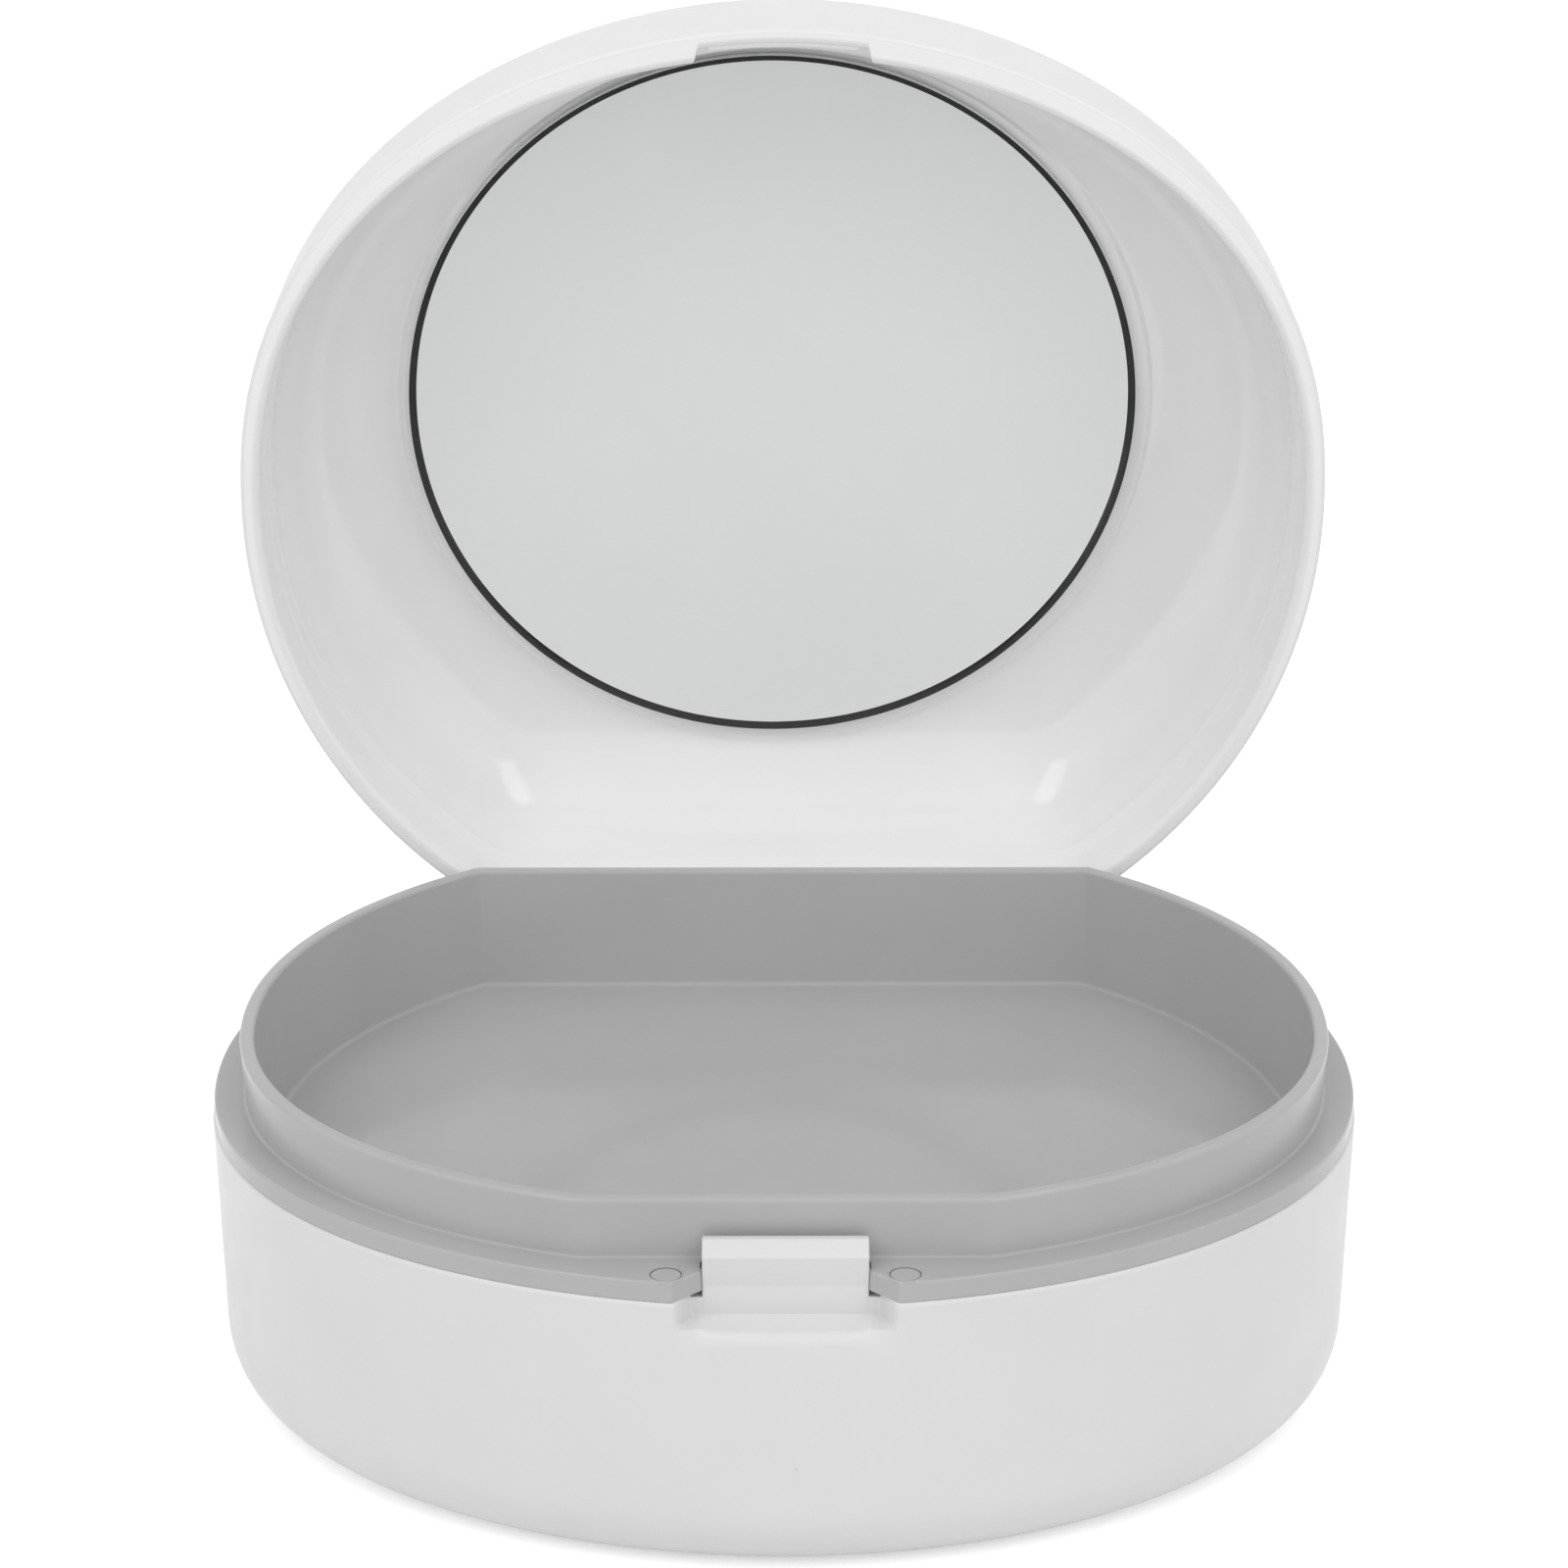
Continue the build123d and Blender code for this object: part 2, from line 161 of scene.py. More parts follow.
@dataclass(frozen=True)
class CaseSizes:
    """Driving sizes of the case, the same as the solids have."""

    half_width: float = 46.0 * MM
    front_reach: float = 42.5 * MM
    back_flat: float = 38.8 * MM
    back_bulge: float = 8.0 * MM
    shell_corner_drop: float = 1.8 * MM
    shell_top: float = 22.7 * MM
    flange_thickness: float = 1.6 * MM
    lip_height: float = 4.8 * MM
    lip_side_inset: float = 2.3 * MM
    lip_front_inset: float = 2.6 * MM
    lip_back_inset: float = 2.6 * MM
    lip_front_flat_inset: float = 5.0 * MM
    lip_back_flat_inset: float = 4.3 * MM
    lip_corner_drop: float = 0.2 * MM

    @property
    def flange_top(self) -> float:
        """Level of the flange that the closed lid meets."""
        return self.shell_top + self.flange_thickness

    @property
    def lip_top(self) -> float:
        """Level of the tray's lip."""
        return self.flange_top + self.lip_height

    def shell_plan(self, inset: float = 0.0, front_extra: float = 0.0) -> Plan:
        """Outline of the outer shells, set in all round by the inset and at the front by more."""
        front = self.front_reach - inset - front_extra
        return Plan(self.half_width - inset, front, self.back_flat + self.back_bulge - inset,
                    self.back_flat - inset, self.shell_corner_drop, front, 0.0)

    def lip_plan(self, inset: float = 0.0) -> Plan:
        """Outline of the tray's lip, set in by the inset."""
        return Plan(self.half_width - self.lip_side_inset - inset,
                    self.front_reach - self.lip_front_inset - inset,
                    self.back_flat + self.back_bulge - self.lip_back_inset - inset,
                    self.back_flat - self.lip_back_flat_inset - inset, self.lip_corner_drop,
                    self.front_reach - self.lip_front_flat_inset - inset, self.lip_corner_drop)


SIZES = CaseSizes()


@dataclass
class Solid:
    """A closed surface: its points and its faces, which may be joined with others in one piece."""

    points: Array
    quads: Array
    triangles: Array

    def outward(self) -> "Solid":
        """Turns the faces so that they point outwards, which the sign of the enclosed volume tells."""
        corners = np.vstack([self.triangles, self.quads[:, :3], self.quads[:, [0, 2, 3]]])
        a, b, c = (self.points[corners[:, k]] for k in range(3))
        if np.einsum("ij,ij->i", a, np.cross(b, c)).sum() < 0:
            self.quads, self.triangles = self.quads[:, ::-1], self.triangles[:, ::-1]
        return self

    def turned(self, angle: float, centre: tuple[float, float]) -> "Solid":
        """Turns the surface about a line along X.

        Args:
            angle: turn in radians, positive by the right-hand rule.
            centre: Y and Z of the line.

        Returns:
            The turned surface: Y and Z from the line, times the turn's cosine and sine.
        """
        y, z = self.points[:, 1] - centre[0], self.points[:, 2] - centre[1]
        cosine, sine = math.cos(angle), math.sin(angle)
        points = np.stack([self.points[:, 0], y * cosine - z * sine + centre[0],
                           y * sine + z * cosine + centre[1]], axis=1)
        return Solid(points, self.quads, self.triangles)


def joined(solids: list[Solid]) -> Solid:
    """One surface out of several that don't share points."""
    starts = np.cumsum([0] + [len(s.points) for s in solids[:-1]])
    return Solid(np.vstack([s.points for s in solids]),
                 np.vstack([s.quads + n for s, n in zip(solids, starts)]),
                 np.vstack([s.triangles + n for s, n in zip(solids, starts)]))


class Skin:
    """A surface made of rows of points with the same columns, closed by a pole at each end.

    A row is a closed loop round the surface, so the surface is a function of the row's place on
    the profile and the column's place on the loop.
    """

    def __init__(self) -> None:
        """Starts a skin with no rows."""
        self.rows: list[Array] = []

    def row(self, flat: Array, level: float | Array) -> None:
        """Adds a row.

        Args:
            flat: X and Y of each column.
            level: Z, the same all round or one for each column.
        """
        self.rows.append(np.column_stack([flat, np.broadcast_to(level, len(flat))]))

    def solid(self, first_pole: tuple[float, float, float], last_pole: tuple[float, float, float]) -> Solid:
        """Joins the rows by quads, and the first and last row to their poles by triangles."""
        count, width = len(self.rows), len(self.rows[0])
        points = np.vstack(self.rows + [np.array([first_pole]), np.array([last_pole])])
        column = np.arange(width)
        after = (column + 1) % width
        row = np.arange(count - 1)[:, None] * width
        quads = np.stack([row + column, row + after, row + width + after, row + width + column], axis=-1)
        start = np.stack([after, column, np.full(width, count * width)], axis=-1)
        last = (count - 1) * width
        end = np.stack([last + column, last + after, np.full(width, count * width + 1)], axis=-1)
        return Solid(points, quads.reshape(-1, 4), np.vstack([start, end])).outward()


def quarter(count: int) -> list[tuple[float, float]]:
    """Cosine and sine of evenly spaced angles from nothing to a quarter turn."""
    turns = np.linspace(0, math.pi / 2, count)
    return list(zip(np.cos(turns).tolist(), np.sin(turns).tolist()))


def unit(rows: Array) -> Array:
    """Each row over its length."""
    return rows / np.maximum(np.linalg.norm(rows, axis=1), TINY)[:, None]


def rounded_loop(points: Array, radii: Array, steps: int = 6) -> Array:
    """Closed outline with rounded corners.

    Args:
        points: the sharp corners in order.
        radii: rounding of each corner, none where it is nought.
        steps: faces over each rounding.

    Returns:
        Points of the outline: at each corner those of a circle that touches both its lines.
    """
    before, after = unit(points - np.roll(points, 1, axis=0)), unit(np.roll(points, -1, axis=0) - points)
    cosine = np.clip(np.einsum("ij,ij->i", before, after), -1.0, 1.0)
    turn = np.arccos(cosine)
    sharp = (radii == 0) | (turn < NO_TURN)
    normal = unit(after - cosine[:, None] * before)
    first = points - before * np.where(sharp, 0, radii * np.tan(np.where(sharp, 0, turn) / 2))[:, None]
    phi = turn[:, None] * np.linspace(0, 1, steps + 1)
    across, along = (np.where(sharp, 0, radii)[:, None] * part for part in (1 - np.cos(phi), np.sin(phi)))
    arcs = first[:, None] + normal[:, None] * across[..., None] + before[:, None] * along[..., None]
    keep = ~sharp[:, None] | (np.arange(steps + 1) == 0)
    return arcs[keep]


def ring_of(count: int) -> Array:
    """Unit circle of even points, one row of X and Y each: sine and minus cosine of the turn."""
    turns = np.linspace(-math.pi, math.pi, count + 1)[:-1]
    return np.stack([np.sin(turns), -np.cos(turns)], axis=1)


def set_in(loop: Array, distance: float | Array) -> Array:
    """Moves each point of a closed outline to its inside by a distance, square to the outline."""
    ahead = np.roll(loop, -1, axis=0)
    forward, backward = unit(ahead - loop), unit(loop - np.roll(loop, 1, axis=0))
    along = unit(forward + backward)
    area = np.sum(loop[:, 0] * ahead[:, 1] - ahead[:, 0] * loop[:, 1])
    side = 1.0 if area > 0 else -1.0
    normal = np.stack([-along[:, 1], along[:, 0]], axis=1) * side
    stretch = np.clip(np.einsum("ij,ij->i", along, forward), 0.5, 1.0)
    return loop + normal * (distance / stretch)[:, None]


def bar(profile: Array, x0: float, x1: float, rounding: float, steps: int = 3) -> Solid:
    """Profile in the YZ plane carried along X, with rounded edges at both ends.

    Args:
        profile: Y and Z of the closed profile.
        x0: first end.
        x1: last end.
        rounding: radius of the ends' edges, over which the profile draws in along a circle.
        steps: faces over each rounding.

    Returns:
        The bar's surface.
    """
    skin = Skin()
    stops = [(x0 + rounding * (1 - cosine), rounding * (1 - sine)) for cosine, sine in quarter(steps + 1)]
    mirrored = [(x0 + x1 - x, inset) for x, inset in reversed(stops)]
    for x, inset in stops + [(x0 + 2 * rounding, 0.0), (x1 - 2 * rounding, 0.0)] + mirrored:
        loop = set_in(profile, inset)
        skin.rows.append(np.column_stack([np.full(len(loop), x), loop]))
    centre = profile.mean(axis=0)
    return skin.solid((x0, centre[0], centre[1]), (x1, centre[0], centre[1]))


def add_piece(name: str, solid: Solid, body: Body, node: str,
              finishes: list[bpy.types.Material], parts: Array | None = None,
              smooth_up_to: float = 35.0) -> None:
    """Makes a piece of the object out of a surface.

    Args:
        name: the piece's name.
        solid: its surface in the row frame.
        body: the body that it rides on.
        node: the solid of the frame that it stands for.
        finishes: its materials.
        parts: which of them each face has, the first everywhere if it isn't given.
        smooth_up_to: edges that turn by more than this many degrees stay sharp.
    """
    mesh = bpy.data.meshes.new(name)
    faces = len(solid.quads) + len(solid.triangles)
    corners = np.concatenate([solid.quads.ravel(), solid.triangles.ravel()]).astype(np.int32)
    sizes = np.concatenate([np.full(len(solid.quads), 4), np.full(len(solid.triangles), 3)])
    starts = np.concatenate([[0], np.cumsum(sizes)[:-1]]).astype(np.int32)
    mesh.vertices.add(len(solid.points))
    mesh.vertices.foreach_set("co", solid.points.astype(np.float32).ravel())
    mesh.loops.add(len(corners))
    mesh.loops.foreach_set("vertex_index", corners)
    mesh.polygons.add(faces)
    mesh.polygons.foreach_set("loop_start", starts)
    mesh.polygons.foreach_set("use_smooth", np.ones(faces, bool))
    mesh.update(calc_edges=True)
    mesh.validate()
    mesh.set_sharp_from_angle(angle=math.radians(smooth_up_to))
    for finish in finishes:
        mesh.materials.append(finish)
    if parts is not None:
        mesh.polygons.foreach_set("material_index", parts.astype(np.int32))
    piece = bpy.data.objects.new(name, mesh)
    bpy.context.scene.collection.objects.link(piece)
    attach(piece, body.value)
    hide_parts(node)
    LOG.info("%s: %d faces on body %s, in place of %s", name, faces, body.value, node)


def smooth_step(value: Array, low: float, high: float) -> Array:
    """Eases from nought at low to one at high: 3 t squared less 2 t cubed of the way t between."""
    t = np.clip((value - low) / (high - low), 0, 1)
    return t * t * (3 - 2 * t)


@dataclass
class Columns:
    """Columns of a skin: rays in plan that start on the X axis and fan out to the outline.

    Near the front and the back the rays run along Y, so that a column keeps its X on every row.
    Beyond that they turn until they come from the origin.
    """

    start: Array
    heading: Array
    rounds: int = 12

    @staticmethod
    def of(plan: Plan, headings: Array, parallel: float = 14.0 * MM,
           radial: float = 46.0 * MM) -> "Columns":
        """Rays through the points of an outline at the given headings.

        Args:
            plan: the outline.
            headings: headings from the origin, from minus to plus pi.
            parallel: the rays run along Y up to this X.
            radial: the rays come from the origin beyond this X.

        Returns:
            Start X and heading of each ray.
        """
        points = plan.at(headings)
        start = points[:, 0] * (1 - smooth_step(np.abs(points[:, 0]), parallel, radial))
        return Columns(start, np.arctan2(points[:, 0] - start, -points[:, 1]))

    def meet(self, plan: Plan) -> Array:
        """Points where the rays meet an outline.

        The heading from the origin of a ray's point at distance t is the arc tangent of
        start + t sin h over t cos h, and t is the distance from the start to the outline's point
        at that heading, so the two are worked out in turn until they agree.
        """
        heading = self.heading
        for _ in range(self.rounds):
            point = plan.at(heading)
            t = np.hypot(point[:, 0] - self.start, point[:, 1])
            heading = np.arctan2(self.start + t * np.sin(self.heading), t * np.cos(self.heading))
        return plan.at(heading)


def case_headings(at_front: list[float], at_back: list[float], spacing: float = 0.5) -> Array:
    """Headings of the columns: even ones, with closer ones beside the ends of the features.

    Args:
        at_front: X of the features' ends on the front, right of the middle.
        at_back: X of the features' ends on the back.
        spacing: degrees between the even ones.

    Returns:
        Headings from minus to plus pi, in order, the same on the left as on the right.
    """
    even = np.radians(np.arange(0, 180 + spacing / 2, spacing))
    beside = np.array([0.04, 0.12, 0.22, 0.35, 0.5]) * MM
    close = np.concatenate([-beside[::-1], beside])
    least_step = 2e-4
    front = [math.atan2(x + d, SIZES.front_reach) for x in at_front for d in close]
    back = [math.pi - math.atan2(x + d, SIZES.back_flat) for x in at_back for d in close]
    half = np.unique(np.concatenate([even, front, back]))
    half = half[np.concatenate([[True], np.diff(half) > least_step])]
    return np.concatenate([-half[1:-1][::-1], half])


@dataclass
class BaseShell:
    """White outer shell of the base: rounded foot, drafted wall, scoop, boss and hinge lugs."""

    wall: float = 1.8 * MM
    draft: float = 0.5 * MM
    foot_radius: float = 5.8 * MM
    rim_radius: float = 0.3 * MM
    scoop_half: float = 8.3 * MM
    scoop_depth: float = 1.9 * MM
    scoop_end: float = 1.6 * MM
    scoop_fade: float = 1.8 * MM
    relief_inner: float = 6.0 * MM
    relief_outer: float = 6.9 * MM
    relief_depth: float = 0.5 * MM
    ledge_radius: float = 1.0 * MM
    ledge_fall: float = 0.3 * MM
    profile_depth: float = 5.4 * MM
    wall_levels: tuple[float, ...] = (6.2 * MM, 9.0 * MM, 13.0 * MM, 17.0 * MM)
    facet_y: float = -39.5 * MM
    facet_radius: float = 0.12 * MM
    boss_half: float = 9.8 * MM
    boss_drop: float = 9.0 * MM
    boss_back: float = -38.0 * MM
    boss_end: float = 0.3 * MM
    lug_x: float = 12.0 * MM
    lug_width: float = 2.4 * MM
    lug_radius: float = 1.5 * MM
    lug_root: float = 5.0 * MM
    lug_edge: float = 0.15 * MM
    hinge_y: float = 37.3 * MM
    hinge_z: float = 26.0 * MM

    def profile(self) -> Array:
        """Outer profile of the plain wall from the middle of the wall up: inset and level."""
        top, r, below_rim = SIZES.shell_top, self.rim_radius, 0.15 * MM
        rim = [(r * (1 - cosine), top - r + r * sine) for cosine, sine in quarter(5)]
        levels = np.linspace(top - self.profile_depth, top - r - below_rim, 13)
        return np.vstack([np.stack([self.lean(levels), levels], axis=1), rim])

    def lean(self, level: float | Array) -> float | Array:
        """Inset of the drafted outer wall: nought at the top and growing evenly on the way down."""
        return self.draft * np.maximum(SIZES.shell_top - level, 0) / (SIZES.shell_top - self.foot_radius)

    def scooped(self) -> Array:
        """The same rows in the scoop: how far in from the wall, how near to the facet, and level."""
        floor, top = SIZES.shell_top - self.scoop_depth, SIZES.shell_top
        r, f = self.ledge_radius, self.facet_radius
        outer = floor - self.ledge_fall
        first = [(0, 0, top - self.profile_depth)]
        edge = [(r * (1 - cosine), 0, outer - r + r * sine) for cosine, sine in quarter(8)]
        ledge = [(0, 0.97, floor), (0, 0.995, floor + 0.05 * MM)]
        facet = [(0, 1, floor + 0.12 * MM), (0, 1, floor + 0.3 * MM), (0, 1, top - 0.6 * MM)]
        lip = [(f * (1 - cosine), 1, top - f + f * sine) for cosine, sine in quarter(4)]
        return np.array(first + edge + ledge + facet + lip)

    def surface(self) -> Solid:
        """Builds the shell.

        Each row of the scoop is the plain row at the columns outside it and the scooped row at
        the columns within, with an eased step between them at the scoop's ends.
        """
        plan = SIZES.shell_plan()
        ends = [self.relief_inner, self.relief_outer, self.scoop_half, self.boss_half]
        columns = Columns.of(plan, case_headings(ends, []))

        def place(inset: float) -> Array:
            return columns.meet(SIZES.shell_plan(inset))

        skin = Skin()
        outer_foot = self.draft + self.foot_radius
        for inset, share in ((3 * MM, 0.4), (3 * MM, 0.8), (3 * MM, 1.0), (0.3 * MM, 1.0)):
            skin.row(place(outer_foot + inset) * share, 0.0)
        for cosine, sine in quarter(13):
            skin.row(place(outer_foot - self.foot_radius * sine), self.foot_radius * (1 - cosine))
        for level in self.wall_levels:
            skin.row(place(self.lean(level)), level)
        x = np.abs(place(0)[:, 0])
        front = place(0)[:, 1] < 0
        floor = SIZES.shell_top - self.scoop_depth
        for (inset, level), (step, near, low) in zip(self.profile(), self.scooped()):
            plain = place(inset)
            fade = min(max((floor - low) / self.ledge_fall, 0.0), 1.0)
            end = self.scoop_end + self.scoop_fade * fade
            inside = (1 - smooth_step(x, self.scoop_half - end, self.scoop_half)) * front
            wall = place(self.lean(low))
            cut_y = wall[:, 1] + step + near * (self.facet_y - wall[:, 1])
            y = plain[:, 1] + inside * (cut_y - plain[:, 1])
            flat = np.stack([plain[:, 0], y], axis=1)
            skin.row(flat, self.relieved(flat, level + inside * (low - level)))
        self.inner_rows(skin, place)
        shell = skin.solid((0, 0, 0), (0, 0, self.wall))
        return joined([shell] + [self.lug(side) for side in (-1, 1)])

    def relieved(self, flat: Array, level: Array | float) -> Array:
        """Caps the level of a row at the small reliefs on both sides of the tab's foot."""
        x = np.abs(flat[:, 0])
        past_inner = smooth_step(x, self.relief_inner - 0.1 * MM, self.relief_inner)
        past_outer = smooth_step(x, self.relief_outer, self.relief_outer + 0.15 * MM)
        within = past_inner * (1 - past_outer) * (flat[:, 1] < 0)
        return np.minimum(level, SIZES.shell_top - self.relief_depth * within)

    def inner_rows(self, skin: Skin, place: Callable[[float], Array]) -> None:
        """Adds the rows of the inner wall, which the boss pushes back behind the scoop."""
        top, r = SIZES.shell_top, self.rim_radius
        boss_level = top - self.boss_drop

        def pushed(inset: float, level: float, amount: float) -> None:
            flat = place(inset)
            side = 1 - smooth_step(np.abs(flat[:, 0]), self.boss_half - self.boss_end, self.boss_half)
            back = np.maximum(flat[:, 1], self.boss_back)
            ahead = (flat[:, 1] < 0) * side * amount
            flat = np.stack([flat[:, 0], flat[:, 1] + ahead * (back - flat[:, 1])], axis=1)
            skin.row(flat, self.relieved(flat, level))

        for cosine, sine in quarter(4):
            pushed(self.wall - r + r * sine, top - r + r * cosine, 1.0)
        for level in (top - 2 * MM, boss_level + 0.5 * MM):
            pushed(self.wall + self.lean(level), level, 1.0)
        for level in (boss_level - 1.5 * MM, 8 * MM, self.foot_radius):
            pushed(self.wall + self.lean(level), level, 0.0)
        radius = self.foot_radius - self.wall
        for cosine, sine in quarter(7)[1:]:
            pushed(self.wall + self.draft + radius * (1 - cosine), self.foot_radius - radius * sine, 0.0)
        for share in (0.9, 0.4):
            skin.row(place(self.wall + self.draft + radius) * share, self.wall)

    def lug(self, side: int) -> Solid:
        """One hinge lug: a rounded head about the hinge axis on a post that runs down in the wall."""
        r, low = self.lug_radius, SIZES.shell_top - self.lug_root
        turns = np.linspace(0, math.pi, 25)
        head = np.stack([self.hinge_y + r * np.cos(turns), self.hinge_z + r * np.sin(turns)], axis=1)
        inner = self.hinge_y + r - 0.1 * MM
        foot = np.array([[self.hinge_y - r, low], [inner, low], [inner, SIZES.shell_top]])
        x = side * self.lug_x
        return bar(np.vstack([head, foot]), x - self.lug_width / 2, x + self.lug_width / 2, self.lug_edge)


@dataclass
class InnerTray:
    """Grey tray: flange with the tab's notch and the lugs' slots, raised lip and sunken floor."""

    relief: float = 0.15 * MM
    lip_thickness: float = 1.2 * MM
    depth: float = 10.4 * MM
    floor: float = 1.5 * MM
    draft: float = 0.8 * MM
    notch_half: float = 6.12 * MM
    notch_wide: float = 8.15 * MM
    notch_mouth: float = 2.8 * MM
    notch_back: float = -37.8 * MM
    notch_corner: float = 0.25 * MM
    slot_x: float = 12.0 * MM
    slot_half: float = 1.5 * MM
    slot_front: float = 35.5 * MM
    edge: float = 0.16 * MM
    notch_edge_share: float = 0.15
    lip_radius: float = 0.3 * MM
    lip_foot: float = 0.2 * MM
    floor_fillet: float = 0.35 * MM
    foot_radius: float = 0.6 * MM
    pole_inset: float = 20 * MM
    heading_share: float = 0.03
    mark_x: float = 8.7 * MM
    mark_y: float = -40.25 * MM
    mark_radius: float = 1.2 * MM
    mark_sunk: float = 0.1 * MM
    mark_columns: int = 48
    mark_profile: tuple[tuple[float, float], ...] = (
        (0.16 * MM, 0.0), (0.1 * MM, 0.05 * MM), (0.04 * MM, 0.07 * MM), (0.0, 0.05 * MM),
        (-0.12 * MM, 0.012 * MM), (-0.3 * MM, 0.012 * MM))

    def flange_half(self) -> Array:
        """Right half of the flange's outline, from the middle of the notch to the back's middle."""
        plan = SIZES.shell_plan(self.relief).half()
        mouth_y = -(SIZES.front_reach - self.relief) + self.notch_mouth
        hit = int(np.argmax(plan[:, 0] > self.notch_wide))
        corner = (float(plan[hit, 0]), float(plan[hit, 1]))
        near, far = self.slot_x - self.slot_half, self.slot_x + self.slot_half
        back = SIZES.back_flat - self.relief
        before = plan[(plan[:, 0] > self.notch_wide + 0.4 * MM) | (plan[:, 1] > 0)]
        before = before[(before[:, 1] < 0) | (before[:, 0] > far + 0.3 * MM)]
        half = self.notch_half
        front = [(0.0, self.notch_back), (half, self.notch_back), (half, mouth_y), corner]
        slot = [(far, back), (far, self.slot_front), (near, self.slot_front), (near, back), (0.0, back)]
        front_radii = [0.0, 0.3 * MM, self.notch_corner, self.notch_corner * 0.7]
        slot_radii = [0.2 * MM, 0.3 * MM, 0.3 * MM, 0.2 * MM, 0.0]
        return rounded_loop(np.vstack([front, before, slot]),
                            np.concatenate([front_radii, np.zeros(len(before)), slot_radii]))

    def outline(self, spacing: float = 0.28 * MM) -> tuple[Array, Array]:
        """Whole outline of the flange and the headings that its columns take on the lip.

        Args:
            spacing: greatest distance between neighbouring points.

        Returns:
            Points, and headings that grow all the way round from minus to plus pi.
        """
        half = self.flange_half()
        legs = np.diff(half, axis=0)
        parts = np.maximum(1, np.ceil(np.linalg.norm(legs, axis=1) / spacing)).astype(int)
        leg = np.repeat(np.arange(len(legs)), parts)
        step = np.arange(len(leg)) - np.repeat(np.cumsum(parts) - parts, parts) + 1
        half = np.vstack([half[:1], half[leg] + legs[leg] * (step / parts[leg])[:, None]])
        least = 0.01 * MM
        half = half[np.concatenate([[True], np.linalg.norm(np.diff(half, axis=0), axis=1) > least])]
        heading = np.arctan2(half[:, 0], -half[:, 1])
        run = np.concatenate([[0], np.cumsum(np.linalg.norm(np.diff(half, axis=0), axis=1))])
        heading = self.spread(heading, run)
        left = (half * [-1, 1])[1:-1][::-1]
        return np.vstack([left, half]), np.concatenate([-heading[1:-1][::-1], heading])

    def spread(self, heading: Array, run: Array) -> Array:
        """Makes the headings grow along the whole path, also where it turns back at a notch.

        The highest heading so far and the lowest heading still to come both never fall. Their
        mean does neither, and a small share of the run along the path makes it grow.
        """
        highest = np.maximum.accumulate(heading)
        lowest = np.minimum.accumulate(heading[::-1])[::-1]
        mean = (highest + lowest) / 2
        return (1 - self.heading_share) * mean + self.heading_share * math.pi * run / run[-1]

    def surface(self) -> tuple[Solid, Array]:
        """Builds the tray: flange underside, edge, top, lip, inner wall, floor and marks.

        A profile is carried round: the rows of the lip and the floor lie on insets of the lip's
        plan, and those of the flange on insets of its own outline.

        Returns:
            The surface, and one for each face in the groove of a moulding mark, which is painted dark as
            shade, nought elsewhere.
        """
        path, headings = self.outline()
        top, low, e = SIZES.flange_top, SIZES.shell_top, self.edge
        lip_top, floor_top = SIZES.lip_top, SIZES.lip_top - self.depth
        bottom = floor_top - self.floor
        skin = Skin()

        def lip(inset: float, level: float) -> None:
            skin.row(SIZES.lip_plan(inset).at(headings), level)

        def outer(level: float) -> float:
            return self.draft * (lip_top - level) / (lip_top - bottom)

        r, foot, fillet, corner = self.lip_radius, self.lip_foot, self.floor_fillet, self.foot_radius
        lip(self.pole_inset, bottom)
        lip(self.draft + 1 * MM, bottom)
        for cosine, sine in quarter(4):
            lip(self.draft + corner * (1 - sine), bottom + corner * (1 - cosine))
        lip(outer(low - 0.3 * MM), low - 0.3 * MM)
        lip(outer(low) - 0.02 * MM, low)
        skin.row(set_in(path, 0.05 * MM), low)
        skin.row(path, low + 0.05 * MM)
        skin.row(path, top - e - 0.1 * MM)
        beside = 1 - smooth_step(np.abs(path[:, 0]), self.notch_half + 0.2 * MM, self.notch_half + 0.8 * MM)
        share = 1 - (1 - self.notch_edge_share) * beside * (path[:, 1] < 0)
        for cosine, sine in quarter(5):
            skin.row(set_in(path, e * share * (1 - cosine)), top - e + e * sine)
        skin.row(set_in(path, (e + 0.08 * MM) * share), top)
        skin.row(set_in(path, e * share + 0.1 * MM), top)
        lip(outer(top) - foot - 0.06 * MM, top)
        for cosine, sine in quarter(4):
            lip(outer(top) - foot * (1 - sine), top + foot * (1 - cosine))
        lip(outer(lip_top - r - 0.3 * MM), lip_top - r - 0.3 * MM)
        for cosine, sine in quarter(7):
            lip(r * (1 - cosine), lip_top - r + r * sine)
        for cosine, sine in quarter(7):
            lip(self.lip_thickness - r + r * sine, lip_top - r + r * cosine)

        def inner(level: float) -> float:
            return self.lip_thickness + self.draft * (lip_top - level) / self.depth

        for level in (lip_top - r - 0.3 * MM, lip_top - 0.5 * self.depth, floor_top + fillet + 0.4 * MM):
            lip(inner(level), level)
        for cosine, sine in quarter(6):
            lip(inner(floor_top) + fillet * (1 - cosine), floor_top + fillet * (1 - sine))
        lip(inner(floor_top) + fillet + 0.3 * MM, floor_top)
        lip(self.pole_inset, floor_top)
        tray = skin.solid((0, 0, bottom), (0, 0, floor_top))
        marks = [self.mark(side) for side in (-1, 1)]
        whole = joined([tray] + marks)
        rows = len(self.mark_profile)
        # The groove's faces are the inner slope of the raised ring; they take the dark finish, a painted
        # shade.
        groove = np.repeat(np.arange(rows) == rows - 2, self.mark_columns)
        faces = np.zeros(len(whole.quads) + len(whole.triangles), int)
        faces[len(tray.quads):len(whole.quads)] = np.tile(groove, len(marks))
        return whole, faces

